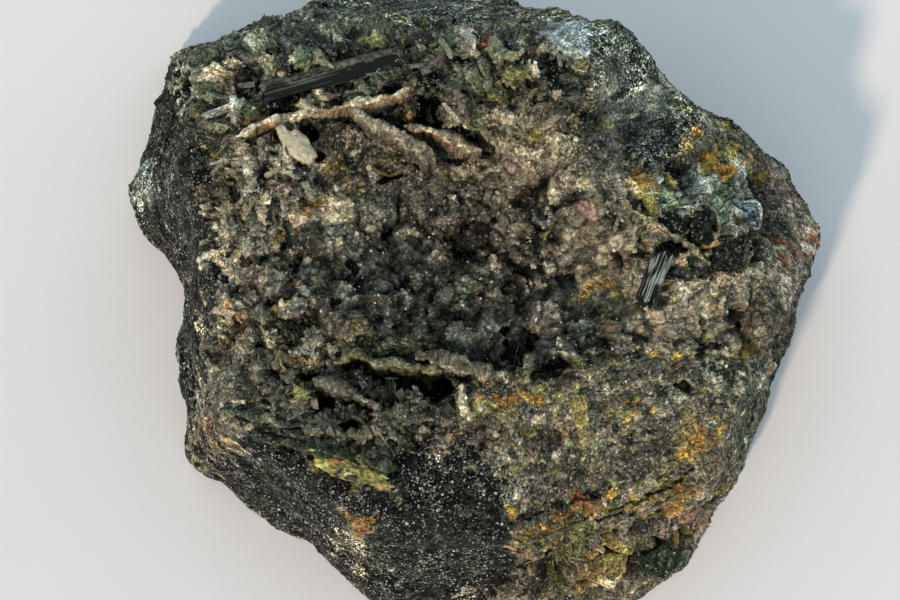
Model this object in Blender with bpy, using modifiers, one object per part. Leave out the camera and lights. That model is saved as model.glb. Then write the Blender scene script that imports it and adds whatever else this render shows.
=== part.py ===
"""Hedenbergite hand specimen: a broken block of granular rock with an open vug in its upper face,
in which striated prisms, thin blades and crusted plates stand.

Metres, +Z up. The specimen rests on a flat fracture at z = 0, and the origin is the middle of its
bounding box at that height. +X is its longest side and +Y is the far side of the vug face.
"""
import math

import bmesh
import bpy
from mathutils import Euler, Matrix, Vector

MM = 0.001
GAP = 0.3 * MM                       # clearance between a crystal and its seat in the rock
MIDDLE = Vector((-0.5, 1.5, 0.0)) * MM   # of the footprint, from the point the places are measured from

# The block is a cube broken along fracture planes. Each plane faces outwards along an azimuth
# (degrees from +X towards +Y) and leans up by a slope (degrees), at a distance from the heart (mm).
HEART = Vector((0.0, 0.0, 18.0)) * MM
BLOCK_SIDE = 140 * MM
FRACTURES = {
    "left": (-166.4, 11.5, 39.4),
    "left_up": (161.0, 17.2, 44.4),
    "back_left": (112.8, 23.4, 40.3),
    "back": (89.9, 27.3, 34.4),
    "back_right": (80.0, 22.0, 38.0),
    "upper_right_side": (61.3, 12.0, 38.2),
    "upper_right_facet": (18.0, 41.0, 33.2),
    "knob_right": (-14.0, 0.0, 44.2),
    "knob_corner": (26.0, 0.0, 47.0),
    "right_low": (-23.0, 6.0, 41.3),
    "front_right": (-69.4, 10.6, 42.5),
    "front": (-94.5, 11.8, 40.0),
    "front_left": (-126.5, 2.5, 40.0),
    "face": (-90.7, 80.9, 24.6),
    "face_right": (-15.0, 60.0, 27.6),
    "face_front": (-64.0, 52.0, 31.2),
}

# Hollows are ellipsoids taken out of the block: centre (mm), half sizes (mm), turn about Z (deg).
HOLLOWS = {
    "vug": ((-6.0, -2.0, 49.0), (25.0, 18.5, 14.5), 0),
    "vug_right": ((12.5, -6.0, 45.5), (11.0, 9.0, 13.5), 0),
    "under_tongue": ((-4.0, 13.0, 38.5), (6.5, 2.6, 8.0), -18),
    "under_ridge": ((-11.5, 18.0, 41.0), (3.6, 2.0, 6.5), 0),
    "crevice": ((6.5, -13.5, 36.0), (8.0, 2.6, 7.0), -12),
    "lower_holes": ((-8.5, -16.5, 38.0), (8.0, 4.2, 9.0), 0),
    "lower_left_hole": ((-18.0, -20.0, 40.0), (2.6, 3.4, 7.0), 20),
    "left_hollow": ((-27.0, -12.0, 47.0), (4.5, 9.0, 7.5), 10),
    "saddle": ((24.5, 15.5, 41.0), (8.0, 7.0, 7.5), 0),
    "notch": ((34.3, 34.2, 20.0), (13.0, 13.0, 60.0), 0),
    "knob_notch": ((43.5, 28.5, 20.0), (20.0, 10.0, 60.0), -27),
    "left_waist": ((-59.0, -2.5, 14.0), (20.5, 18.2, 40.0), 0),
}


def clear_file():
    for obj in list(bpy.data.objects):
        bpy.data.objects.remove(obj, do_unlink=True)


def new_collection(name):
    group = bpy.data.collections.new(name)
    bpy.context.scene.collection.children.link(group)
    return group


clear_file()
specimen = new_collection("hedenbergite")
hollow_cutters = new_collection("hollow_cutters")
base_cutters = new_collection("base_cutters")
seat_cutters = new_collection("seat_cutters")
arms = new_collection("arms")
footprint = bpy.data.objects.new("footprint", None)
footprint.location = -MIDDLE
specimen.objects.link(footprint)


def principled(name, colour, roughness, metallic=0.0):
    material = bpy.data.materials.new(name)
    material.use_nodes = True
    shader = material.node_tree.nodes["Principled BSDF"]
    shader.inputs["Base Color"].default_value = (*colour, 1.0)
    shader.inputs["Roughness"].default_value = roughness
    shader.inputs["Metallic"].default_value = metallic
    return material


def to_object(bm, name, group):
    """Write a bmesh into a new object of a collection, with its faces turned outwards."""
    bmesh.ops.recalc_face_normals(bm, faces=bm.faces)
    mesh = bpy.data.meshes.new(name)
    bm.to_mesh(mesh)
    bm.free()
    obj = bpy.data.objects.new(name, mesh)
    obj.parent = footprint
    group.objects.link(obj)
    if group is not specimen:
        obj.hide_render = True
        obj.display_type = "WIRE"
    return obj


def outward(azimuth, slope):
    """Unit vector that points along an azimuth and up by a slope, both in degrees."""
    a, s = math.radians(azimuth), math.radians(slope)
    return Vector((math.cos(s) * math.cos(a), math.cos(s) * math.sin(a), math.sin(s)))


def fractured_block():
    """A cube cut back along each fracture plane, each cut closed by one flat facet."""
    bm = bmesh.new()
    bmesh.ops.create_cube(bm, size=BLOCK_SIDE)
    bmesh.ops.translate(bm, vec=HEART, verts=bm.verts)
    for azimuth, slope, distance in FRACTURES.values():
        normal = outward(azimuth, slope)
        geometry = bm.verts[:] + bm.edges[:] + bm.faces[:]
        cut = bmesh.ops.bisect_plane(
            bm, geom=geometry, plane_co=HEART + normal * distance * MM, plane_no=normal, clear_outer=True
        )
        rim = [item for item in cut["geom_cut"] if isinstance(item, bmesh.types.BMEdge)]
        bmesh.ops.contextual_create(bm, geom=rim)
    return to_object(bm, "matrix", specimen)


def hollow(name, centre, radii, turn):
    """A cutter in the shape of an ellipsoid."""
    bm = bmesh.new()
    bmesh.ops.create_icosphere(bm, subdivisions=3, radius=1.0)
    place = Matrix.LocRotScale(Vector(centre) * MM, Euler((0, 0, math.radians(turn))), Vector(radii) * MM)
    bmesh.ops.transform(bm, matrix=place, verts=bm.verts)
    return to_object(bm, name, hollow_cutters)


def add_boolean(obj, name, operation, group=None, cutter=None):
    boolean = obj.modifiers.new(name, "BOOLEAN")
    boolean.operation = operation
    boolean.solver = "EXACT"
    if group:
        boolean.operand_type = "COLLECTION"
        boolean.collection = group
    else:
        boolean.object = cutter


def add_lumps(obj, name, size, height):
    """Push the surface in and out along its normal by a cloud pattern of one grain size."""
    texture = bpy.data.textures.new(name, "CLOUDS")
    texture.noise_scale = size * MM
    texture.noise_depth = 1
    displace = obj.modifiers.new(name, "DISPLACE")
    displace.texture = texture
    displace.texture_coords = "LOCAL"
    displace.strength = height * MM
    displace.mid_level = 0.5


REMESH_VOXEL = 1.7 * MM
KEPT_SHARE = 0.34                    # of the remeshed triangles


def matrix_rock():
    """The block with its hollows, roughened all over, and broken flat underneath."""
    rock = fractured_block()
    for name, (centre, radii, turn) in HOLLOWS.items():
        hollow(name, centre, radii, turn)
    add_boolean(rock, "hollows", "DIFFERENCE", group=hollow_cutters)
    remesh = rock.modifiers.new("grain", "REMESH")
    remesh.mode = "VOXEL"
    remesh.voxel_size = REMESH_VOXEL
    add_lumps(rock, "broad_lumps", 9.0, 3.4)
    add_lumps(rock, "small_lumps", 3.2, 1.3)
    decimate = rock.modifiers.new("facets", "DECIMATE")
    decimate.ratio = KEPT_SHARE
    bm = bmesh.new()
    bmesh.ops.create_cube(bm, size=BLOCK_SIDE)
    bmesh.ops.translate(bm, vec=(0, 0, BLOCK_SIDE / 2), verts=bm.verts)
    add_boolean(rock, "flat_base", "INTERSECT", cutter=to_object(bm, "above_base", base_cutters))
    rock.data.materials.append(principled("granular_rock", (0.045, 0.05, 0.045), 0.75))
    return rock


# Prisms: the two ends of the axis (mm), width and height across it (mm), number of sides, colour.
BLACK_GREEN = (0.02, 0.028, 0.022)
BLUE_GREY = (0.10, 0.13, 0.15)
YELLOW_GREEN = (0.20, 0.19, 0.05)
PRISMS = {
    "long_striated_prism": ((-26.6, 16.6, 46.2), (-9.6, 21.4, 46.4), 2.8, 2.6, 8, BLACK_GREEN),
    "stub_striated_prism": ((25.0, -2.1, 37.1), (22.1, -9.1, 36.9), 2.7, 2.6, 8, BLACK_GREEN),
    "large_dark_crystal": ((34.2, -1.2, 31.8), (33.6, -1.4, 26.4), 4.8, 5.4, 6, BLACK_GREEN),
    "middle_dark_crystal": ((29.9, 2.4, 34.2), (29.4, 2.0, 29.4), 5.8, 2.8, 6, BLACK_GREEN),
    "small_dark_crystal": ((26.3, 1.9, 36.4), (26.0, 1.7, 32.0), 3.2, 3.2, 6, BLACK_GREEN),
    "blue_grey_crystal": ((36.9, 5.6, 29.6), (36.2, 5.4, 24.4), 3.4, 4.2, 6, BLUE_GREY),
    "knob_green_lath": ((21.9, 7.4, 39.6), (23.8, 2.8, 38.0), 1.5, 2.4, 6, YELLOW_GREEN),
    "inset_green_lath": ((-10.7, -15.2, 40.9), (-7.0, -15.6, 40.9), 1.4, 2.6, 6, BLACK_GREEN),
    "right_yellow_lath": ((13.4, -21.6, 38.2), (13.6, -27.6, 35.0), 2.5, 2.4, 6, YELLOW_GREEN),
    "white_lath": ((-34.6, 13.6, 45.2), (-29.6, 15.5, 45.5), 0.9, 1.8, 4, (0.55, 0.56, 0.50)),
    "front_yellow_crystal": ((18.0, -39.9, 21.0), (17.6, -36.6, 15.5), 4.6, 5.0, 6, YELLOW_GREEN),
    "front_green_crystal": ((25.0, -38.8, 15.5), (24.2, -35.8, 10.0), 5.0, 6.6, 6, BLACK_GREEN),
}

# Plates on edge: the points of the top edge (mm), thickness and depth (mm), colour.
TAN = (0.30, 0.25, 0.17)
OLIVE = (0.10, 0.11, 0.06)
PLATES = {
    "long_ridge_plate": (
        ((-30.6, 11.3, 45.6), (-22.2, 14.0, 46.6), (-16.4, 14.9, 46.8), (-8.1, 17.2, 46.6)), 1.2, 6.0, TAN
    ),
    "tongue_plate": (((-8.4, 13.6, 43.6), (-4.2, 12.8, 43.8), (1.2, 10.6, 42.6)), 1.3, 8.0, TAN),
    "lower_ridge_plate": (
        ((-18.0, -17.3, 41.4), (-14.8, -16.6, 42.4), (-12.0, -17.4, 42.6), (-7.4, -18.0, 42.4), (0.9, -19.8, 41.8)),
        1.1, 7.0, OLIVE,
    ),
    "lower_diagonal_plate": (((-20.2, -19.6, 41.2), (-15.6, -21.6, 41.6), (-11.4, -24.0, 41.0)), 1.4, 7.0, TAN),
    "crusted_pillar": (((-1.6, -21.4, 41.6), (-1.3, -24.6, 41.0)), 2.0, 6.0, TAN),
    "green_blade_upper": (((-32.1, -23.4, 39.2), (-25.2, -25.2, 40.2), (-18.8, -26.6, 40.4)), 0.9, 4.0, OLIVE),
    "green_blade_lower": (((-28.4, -26.6, 39.6), (-19.0, -29.2, 40.2), (-9.5, -31.4, 40.0)), 1.0, 4.0, OLIVE),
}
DIAGONAL_ARM = (((-15.8, 14.8, 46.6), (-10.6, 12.2, 45.0), (-4.8, 9.0, 42.4)), 1.3, 6.0)

# Lying flakes: centre (mm), half length, half width and thickness (mm), turn and dip (deg), colour.
FLAKES = {
    "tan_flake": ((-22.4, 9.3, 44.9), 3.5, 1.6, 0.9, -50, 14, TAN),
    "yellow_green_blade": ((-16.2, -32.2, 39.6), 6.0, 1.5, 0.9, -25, 4, YELLOW_GREEN),
}

# Nodules: centre (mm), half sizes (mm), colour.
NODULES = {
    "knob_nodule": ((37.9, -8.9, 27.4), (2.8, 3.1, 2.6), (0.34, 0.31, 0.24)),
}


def place_crystal(bm, name, group, colour):
    """Write a crystal, or its seat, and give the crystal its own material."""
    crystal = to_object(bm, name, group)
    if group is specimen:
        crystal.data.materials.append(principled(name, colour, 0.45))
    return crystal


def prism(name, start, end, width, height, sides, colour, group, grown=0.0):
    """A many-sided column along an axis, broken square at both ends."""
    start, end = Vector(start) * MM, Vector(end) * MM
    axis = end - start
    bm = bmesh.new()
    bmesh.ops.create_cone(bm, cap_ends=True, segments=sides, radius1=1, radius2=1, depth=1)
    across = Vector((width * MM / 2 + grown, height * MM / 2 + grown, axis.length + 2 * grown))
    place = Matrix.LocRotScale((start + end) / 2, axis.to_track_quat("Z", "Y"), across)
    bmesh.ops.transform(bm, matrix=place, verts=bm.verts)
    return place_crystal(bm, name, group, colour)


def point_along(route, share):
    """Point at a share of the way along a route of straight steps."""
    step = min(int(share * (len(route) - 1)), len(route) - 2)
    return route[step].lerp(route[step + 1], share * (len(route) - 1) - step)


def plate(name, top_edge, thickness, depth, colour, group, grown=0.0):
    """A blade on edge: a strip that hangs from its top edge and is thickened to both sides."""
    route = [Vector(point) * MM for point in top_edge]
    columns = 2 * (len(route) - 1)
    stretch = grown / (route[-1] - route[0]).length
    bm = bmesh.new()
    bmesh.ops.create_grid(bm, x_segments=columns, y_segments=2, size=0.5)
    for vert in bm.verts:
        along, up = vert.co.x + 0.5, vert.co.y + 0.5
        foot = (1 - up) * (depth * MM + grown)
        vert.co = point_along(route, along * (1 + 2 * stretch) - stretch) + Vector((0, 0, up * grown - foot))
    blade = place_crystal(bm, name, group, colour)
    solidify = blade.modifiers.new("thickness", "SOLIDIFY")
    solidify.thickness = thickness * MM + 2 * grown
    solidify.offset = 0
    return blade


FLAKE_SIDES = 10


def flake(name, centre, half_length, half_width, thickness, turn, dip, colour, group, grown=0.0):
    """A thin lying plate with a ragged oval outline."""
    bm = bmesh.new()
    bmesh.ops.create_circle(bm, cap_ends=True, segments=FLAKE_SIDES, radius=1)
    for vert in bm.verts:
        vert.co *= 1 + 0.12 * math.sin(7.3 * vert.co.x + 4.1 * vert.co.y)
    turned = Euler((0, math.radians(dip), math.radians(turn)))
    size = Vector((half_length * MM + grown, half_width * MM + grown, 1))
    bmesh.ops.transform(bm, matrix=Matrix.LocRotScale(Vector(centre) * MM, turned, size), verts=bm.verts)
    sheet = place_crystal(bm, name, group, colour)
    solidify = sheet.modifiers.new("thickness", "SOLIDIFY")
    solidify.thickness = thickness * MM + 2 * grown
    solidify.offset = 0
    return sheet


def nodule(name, centre, radii, colour, group, grown=0.0):
    """A rounded lump."""
    bm = bmesh.new()
    bmesh.ops.create_icosphere(bm, subdivisions=2, radius=1)
    size = Vector(radii) * MM + Vector((grown, grown, grown))
    bmesh.ops.transform(bm, matrix=Matrix.LocRotScale(Vector(centre) * MM, None, size), verts=bm.verts)
    return place_crystal(bm, name, group, colour)


def seat_crystals(maker, table):
    """Make each crystal of a table, and the grown copy of it that cuts its seat."""
    for name, row in table.items():
        maker(name, *row, group=specimen)
        maker(name + "_seat", *row, group=seat_cutters, grown=GAP)


matrix = matrix_rock()
seat_crystals(prism, PRISMS)
seat_crystals(plate, PLATES)
seat_crystals(flake, FLAKES)
seat_crystals(nodule, NODULES)

# The diagonal arm has grown out of the long ridge plate, so the two are one solid.
arm = plate("diagonal_arm", *DIAGONAL_ARM, TAN, group=arms)
plate("diagonal_arm_seat", *DIAGONAL_ARM, TAN, group=seat_cutters, grown=GAP)
add_boolean(bpy.data.objects["long_ridge_plate"], "grown_together", "UNION", cutter=arm)
add_boolean(matrix, "seats", "DIFFERENCE", group=seat_cutters)
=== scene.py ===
"""Hedenbergite hand specimen: a broken block of granular rock with a crystal-lined vug in its face.

Metres, +Z up, the block resting on z = 0. Sizes in the sections are in millimetres unless they say
otherwise. Places on the face are given as view points: steps of 0.13 mm to the right and down
across the face as it is seen from the eye.
"""
import math

import bmesh
import bpy
import numpy as np
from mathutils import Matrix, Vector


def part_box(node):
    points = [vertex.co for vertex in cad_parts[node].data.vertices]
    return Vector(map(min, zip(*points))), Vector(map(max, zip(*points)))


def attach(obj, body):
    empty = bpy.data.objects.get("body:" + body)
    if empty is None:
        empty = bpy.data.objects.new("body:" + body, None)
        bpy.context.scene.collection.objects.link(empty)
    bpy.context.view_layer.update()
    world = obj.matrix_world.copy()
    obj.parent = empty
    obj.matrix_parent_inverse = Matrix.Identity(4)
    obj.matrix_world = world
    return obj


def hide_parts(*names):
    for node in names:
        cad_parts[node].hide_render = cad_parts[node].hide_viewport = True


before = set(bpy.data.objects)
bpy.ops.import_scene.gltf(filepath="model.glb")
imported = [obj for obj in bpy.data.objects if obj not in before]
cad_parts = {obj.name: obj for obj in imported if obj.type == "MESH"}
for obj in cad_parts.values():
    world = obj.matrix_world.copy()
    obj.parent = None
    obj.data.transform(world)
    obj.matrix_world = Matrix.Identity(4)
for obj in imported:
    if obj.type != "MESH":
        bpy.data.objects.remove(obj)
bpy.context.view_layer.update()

# ------------------------------------------------------------
# The eye looks steeply down on the face from the near side, square to its middle.
# A view point is where a straight line from the eye meets the face.
MM = 0.001
VIEW_W, VIEW_H = 900, 600
LENS, SENSOR = 138.46, 36.0
EYE_TILT = math.radians(74)
EYE_DISTANCE = 450 * MM
LOOKED_AT = np.array((-2.4, -9.9, 36.0)) * MM

FOCAL = LENS / SENSOR * VIEW_W
BACK = np.array((0.0, -math.cos(EYE_TILT), math.sin(EYE_TILT)))
UP = np.array((0.0, math.sin(EYE_TILT), math.cos(EYE_TILT)))
RIGHT = np.array((1.0, 0.0, 0.0))
EYE = LOOKED_AT + EYE_DISTANCE * BACK


def new_object(name, data):
    made = bpy.data.objects.new(name, data)
    bpy.context.scene.collection.objects.link(made)
    return made


def unit(ways):
    """Each direction at length one."""
    return ways / np.linalg.norm(ways, axis=-1, keepdims=True)


def view_ray(x, y):
    """Unit direction from the eye through a view point: x right, y down, the focal length ahead."""
    return unit((x - VIEW_W / 2)[..., None] * RIGHT - (y - VIEW_H / 2)[..., None] * UP - FOCAL * BACK)


def seen_at(points):
    """View point of each place: its offset from the eye over its distance ahead, times the focal length."""
    offset = points - EYE
    scale = FOCAL / -(offset @ BACK)
    return VIEW_W / 2 + offset @ RIGHT * scale, VIEW_H / 2 - offset @ UP * scale


camera = new_object("camera", bpy.data.cameras.new("camera"))
camera.data.lens, camera.data.sensor_width = LENS, SENSOR
camera.data.clip_start = 10 * MM
camera.location = EYE
camera.rotation_euler = (math.pi / 2 - EYE_TILT, 0, 0)
bpy.context.scene.camera = camera

# ------------------------------------------------------------
# The sheet of matt paper that the specimen lies on, and the light: one large lamp low on the near
# left, which draws a soft-edged shadow, and pale blue light from everywhere else.
KEY_FROM, KEY_HEIGHT = math.radians(244), math.radians(34)
KEY_STRENGTH, KEY_SPREAD, KEY_COLOUR = 2.1, math.radians(4), (1.0, 0.76, 0.59)
FILL_COLOUR, FILL_STRENGTH = (0.77, 0.91, 1.0), 0.73
SHEET_HALF = 3.0                     # metres, so that it fills the view from the eye

sheet = new_object("sheet", bpy.data.meshes.new("sheet"))
corners = [(x * SHEET_HALF, y * SHEET_HALF, 0) for x, y in ((-1, -1), (1, -1), (1, 1), (-1, 1))]
sheet.data.from_pydata(corners, [], [(0, 1, 2, 3)])


class Shade:
    """A socket of a material. Arithmetic on it adds Math nodes; node() adds any other node."""

    def __init__(self, tree, socket=None):
        self.tree, self.socket = tree, socket

    def node(self, kind, settings=None, sockets=None, out=0):
        made = self.tree.nodes.new(kind)
        for name, value in (settings or {}).items():
            setattr(made, name, value)
        for name, value in (sockets or {}).items():
            slot = made.inputs[name]
            if isinstance(value, Shade):
                self.tree.links.new(slot, value.socket)
            else:
                slot.default_value = (*value, 1.0) if slot.type == "RGBA" else value
        return Shade(self.tree, made.outputs[out])

    def sum(self, operation, first, second=0.0):
        return self.node("ShaderNodeMath", {"operation": operation}, {0: first, 1: second})

    def __add__(self, other):
        return self.sum("ADD", self, other)

    def __sub__(self, other):
        return self.sum("SUBTRACT", self, other)

    def __rsub__(self, other):
        return self.sum("SUBTRACT", other, self)

    def __mul__(self, other):
        return self.sum("MULTIPLY", self, other)

    def __rpow__(self, other):
        return self.sum("POWER", other, self)

    __radd__, __rmul__ = __add__, __mul__

    def between(self, low, high):
        """0 below low, 1 above high, and a smooth step between."""
        sockets = {"Value": self, "From Min": low, "From Max": high}
        return self.node("ShaderNodeMapRange", {"interpolation_type": "SMOOTHSTEP"}, sockets)

    def mix(self, without, full):
        """One colour where this is 0 and the other where it is 1."""
        return self.node("ShaderNodeMix", {"data_type": "RGBA"}, {0: self, 6: without, 7: full}, 2)

    def scaled(self, by):
        """A colour made lighter or darker."""
        return self.node("ShaderNodeVectorMath", {"operation": "SCALE"}, {0: self, "Scale": by})

    def bump(self, strength, depth):
        """A surface roughened by this as its height, so many metres deep."""
        return self.node("ShaderNodeBump", None, {"Height": self, "Strength": strength, "Distance": depth})


def new_material(name, **constants):
    """A node material, its object coordinates and its shader, with the shader's constant values set."""
    material = bpy.data.materials.new(name)
    material.use_nodes = True
    tree = material.node_tree
    shader = tree.nodes["Principled BSDF"]
    for socket, value in constants.items():
        shader.inputs[socket.replace("_", " ")].default_value = value
    place = Shade(tree).node("ShaderNodeTexCoord", out="Object")
    return material, place, shader


def feed(shader, **links):
    """Link worked-out values to the shader's sockets."""
    for socket, value in links.items():
        value.tree.links.new(shader.inputs[socket.replace("_", " ")], value.socket)


def noise(place, scale, detail=3.0, rough=0.6):
    sockets = {"Vector": place, "Scale": scale, "Detail": detail, "Roughness": rough}
    return place.node("ShaderNodeTexNoise", None, sockets)


def paper_finish():
    material, place, shader = new_material("paper", Roughness=0.85, Specular_IOR_Level=0.2)
    mottle = noise(place, 9.0, rough=0.55).between(0.3, 0.7)
    feed(shader, Base_Color=mottle.mix((0.80, 0.80, 0.80), (0.84, 0.84, 0.84)),
         Normal=noise(place, 900.0, 2.0, 0.55).bump(0.08, 0.0003))
    return material


sheet.data.materials.append(paper_finish())

key = new_object("key", bpy.data.lights.new("key", "SUN"))
key.data.energy, key.data.angle, key.data.color = KEY_STRENGTH, KEY_SPREAD, KEY_COLOUR
key.rotation_euler = (0, math.pi / 2 - KEY_HEIGHT, KEY_FROM)

world = bpy.data.worlds.new("fill")
world.use_nodes = True
background = world.node_tree.nodes["Background"].inputs
background["Color"].default_value = (*FILL_COLOUR, 1)
background["Strength"].default_value = FILL_STRENGTH
bpy.context.scene.world = world
bpy.context.scene.view_settings.view_transform = "Standard"

# ------------------------------------------------------------
# The block: massive, dark green-black granular hedenbergite rock, broken on all sides by a hammer.
# Its broad shape comes from the frame, softened; over that go lumps and sugary grain.
BODY_AROUND, BODY_TOP, BODY_RIM, BODY_SIDE = 720, 12, 18, 82
TOP_RADIUS, RIM_RADIUS, TOP_HEIGHT, FOOT_HEIGHT = 39.0, 8.0, 43.0, 0.7
ROUNDED_VOXEL, ROUNDED_STEPS = 0.8, 5
SPECKLED = 0.4                       # how speckled a surface is that doesn't say so itself


def grid_faces(rows, columns, around=False):
    """Corner numbers of the quads of a grid stored row by row, closed across if it goes around."""
    r, c = np.meshgrid(np.arange(rows - 1), np.arange(columns if around else columns - 1), indexing="ij")
    here, beside = r * columns + c, r * columns + (c + 1) % columns
    return np.stack((here, beside, beside + columns, here + columns), -1).reshape(-1, 4)


def fan_faces(ring, middle):
    """Triangles from each step of a closed ring of corner numbers to one middle point."""
    return np.stack((ring, np.roll(ring, -1), np.full(len(ring), middle)), -1)


def new_mesh(name, points, *face_groups, smooth=True, colour=None):
    """A mesh from places and arrays of faces, with a colour at each place."""
    mesh = bpy.data.meshes.new(name)
    sizes = np.concatenate([np.full(len(f), f.shape[1]) for f in face_groups])
    corners = np.concatenate([f.ravel() for f in face_groups])
    mesh.vertices.add(len(points))
    mesh.loops.add(len(corners))
    mesh.polygons.add(len(sizes))
    mesh.vertices.foreach_set("co", np.asarray(points, np.float32).ravel())
    mesh.loops.foreach_set("vertex_index", corners.astype(np.int32))
    mesh.polygons.foreach_set("loop_start", np.concatenate(([0], np.cumsum(sizes)[:-1])).astype(np.int32))
    mesh.update(calc_edges=True)
    mesh.polygons.foreach_set("use_smooth", np.full(len(sizes), smooth))
    if colour is not None:
        four = np.column_stack((colour, np.full(len(points), SPECKLED)))[:, :4].astype(np.float32)
        mesh.color_attributes.new("tint", "FLOAT_COLOR", "POINT").data.foreach_set("color", four.ravel())
    return mesh


def places_of(obj):
    """The places of an object's points, with its modifiers applied."""
    mesh = obj.evaluated_get(bpy.context.evaluated_depsgraph_get()).data
    found = np.empty(len(mesh.vertices) * 3, np.float32)
    mesh.vertices.foreach_get("co", found)
    return found.reshape(-1, 3).astype(float)


def smooth_step(value, low, high):
    """0 below low, 1 above high, 3t² - 2t³ between."""
    t = np.clip((value - low) / (high - low), 0, 1)
    return t * t * (3 - 2 * t)


def inside(x, y, spot, soft=0.24):
    """How far view points lie inside an oval spot (middle x, y, half sizes, turn in degrees): 1 within, 0
    outside, a soft edge between."""
    cx, cy, rx, ry, turn = spot
    c, s = math.cos(math.radians(turn)), math.sin(math.radians(turn))
    u, v = (x - cx) * c + (y - cy) * s, (y - cy) * c - (x - cx) * s
    return smooth_step(1 - np.hypot(u / rx, v / ry), -0.75 * soft, 1.25 * soft)


# Small corrections of the outline: view spot, way to the right and to the far side (mm).
NUDGES = (
    ((140, 255, 60, 60, 0), 1.7, 0.0), ((178, 40, 45, 40, 0), -0.9, 1.0), ((172, 385, 40, 75, 0), 0.9, 0.0),
    ((715, 555, 60, 50, 0), -2.2, 0.8), ((640, 50, 60, 60, 0), -0.6, 0.3),
)
# Crystals whose sockets in the block are filled, so that the crust closes round them.
FILLED = (
    "large_dark_crystal", "middle_dark_crystal", "small_dark_crystal", "blue_grey_crystal",
    "stub_striated_prism", "knob_green_lath", "right_yellow_lath", "white_lath",
    "front_yellow_crystal", "front_green_crystal",
)


def rounded_core():
    """The block of the frame joined with its filled crystals, its outline nudged, resampled in small cubes
    and smoothed: facets become soft swells."""
    joined = bmesh.new()
    for node in ("matrix", *FILLED):
        joined.from_mesh(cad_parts[node].data)
    bmesh.ops.remove_doubles(joined, verts=joined.verts, dist=1e-6)
    mesh = bpy.data.meshes.new("core")
    joined.to_mesh(mesh)
    joined.free()
    spots = np.empty(len(mesh.vertices) * 3, np.float32)
    mesh.vertices.foreach_get("co", spots)
    spots = spots.reshape(-1, 3).astype(float)
    x, y = seen_at(spots)
    for spot, right, up in NUDGES:
        spots += inside(x, y, spot, 0.8)[:, None] * (right * RIGHT + up * np.array((0, 1.0, 0))) * MM
    mesh.vertices.foreach_set("co", spots.astype(np.float32).ravel())
    core = new_object("core", mesh)
    remesh = core.modifiers.new("cubes", "REMESH")
    remesh.mode, remesh.voxel_size = "VOXEL", ROUNDED_VOXEL * MM
    soften = core.modifiers.new("soften", "SMOOTH")
    soften.factor, soften.iterations = 0.5, ROUNDED_STEPS
    return core


def moved_from(start, end):
    """Whether each place has moved at all."""
    return np.linalg.norm(end - start, axis=-1) > 1e-6


def draped(points, faces, onto):
    """The points of a surface moved against its normals until they meet another object; those that miss it
    stay. A point that slips between two triangles is sent again from a hair's breadth aside."""
    found = points.copy()
    for aside in (0.0, 0.02, -0.03, 0.05):
        start = points + np.array((aside, -0.7 * aside, 0)) * MM
        cloth = new_object("cloth", new_mesh("cloth", start, faces))
        wrap = cloth.modifiers.new("drape", "SHRINKWRAP")
        wrap.target, wrap.wrap_method = onto, "PROJECT"
        wrap.use_negative_direction, wrap.use_positive_direction = True, False
        landed = places_of(cloth)
        bpy.data.objects.remove(cloth)
        met = ~moved_from(points, found) & moved_from(start, landed)
        found = np.where(met[:, None], landed, found)
    return found


core = rounded_core()


def stirred(ix, iy, iz, seed):
    """A scrambled whole number for each whole-number place: primes times the three, joined, stirred twice."""
    mixed = ix * np.uint32(374761393) + iy * np.uint32(668265263) + iz * np.uint32(2246822519)
    mixed = mixed + np.uint32(seed * 362437 + 1)
    mixed = (mixed ^ (mixed >> np.uint32(13))) * np.uint32(1274126177)
    mixed = (mixed ^ (mixed >> np.uint32(15))) * np.uint32(2654435769)
    return mixed ^ (mixed >> np.uint32(16))


def three_of(mixed):
    """Three numbers from 0 to 1 out of the bits of each scrambled one."""
    return np.stack([(mixed >> np.uint32(bits)) & np.uint32(1023) for bits in (0, 10, 20)], -1) / 1023.0


def cloud(points, size, seed=0, octaves=1):
    """Soft noise of about -1 to 1: random numbers at the corners of cubes of a size (mm), blended across each
    cube by 3t² - 2t³. Each further octave has half the size and 0.55 of the height."""
    total, height = 0.0, 1.0
    for octave in range(octaves):
        at = points / (size * MM * 0.5**octave) + 1000.0
        low = np.floor(at)
        t = at - low
        t = t * t * (3 - 2 * t)
        x, y, z = low.astype(np.uint32).T
        blend = 0.0
        for corner in np.ndindex(2, 2, 2):
            i, j, k = np.array(corner, np.uint32)
            weight = np.prod(np.where(np.array(corner, bool), t, 1 - t), -1)
            blend = blend + weight * (stirred(x + i, y + j, z + k, seed + octave) / 2**32)
        total = total + height * (2 * blend - 1)
        height *= 0.55
    return total * 1.3


def neighbours(points, size, seed):
    """For points scattered one to a cube of a size (mm): the way from each of the 27 near ones, in cubes, and
    its cube."""
    at = points / (size * MM) + 1000.0
    low = np.floor(at)
    for step in np.ndindex(3, 3, 3):
        cube = low + np.array(step) - 1
        numbers = cube.astype(np.uint32).T
        yield at - cube - three_of(stirred(*numbers, seed * 9)), numbers


def cells(points, size, seed):
    """How far the nearest scattered point and the second nearest are, in cubes, and three random numbers of
    the nearest."""
    nearest, second = np.full((2, len(points)), 9.0)
    found = np.zeros((len(points), 3))
    for offset, cube in neighbours(points, size, seed):
        gap = np.linalg.norm(offset, axis=-1)
        closer = gap < nearest
        second = np.where(closer, nearest, np.minimum(second, gap))
        found = np.where(closer[:, None], three_of(stirred(*cube, seed * 9 + 1)), found)
        nearest = np.minimum(nearest, gap)
    return nearest, second, found


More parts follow.
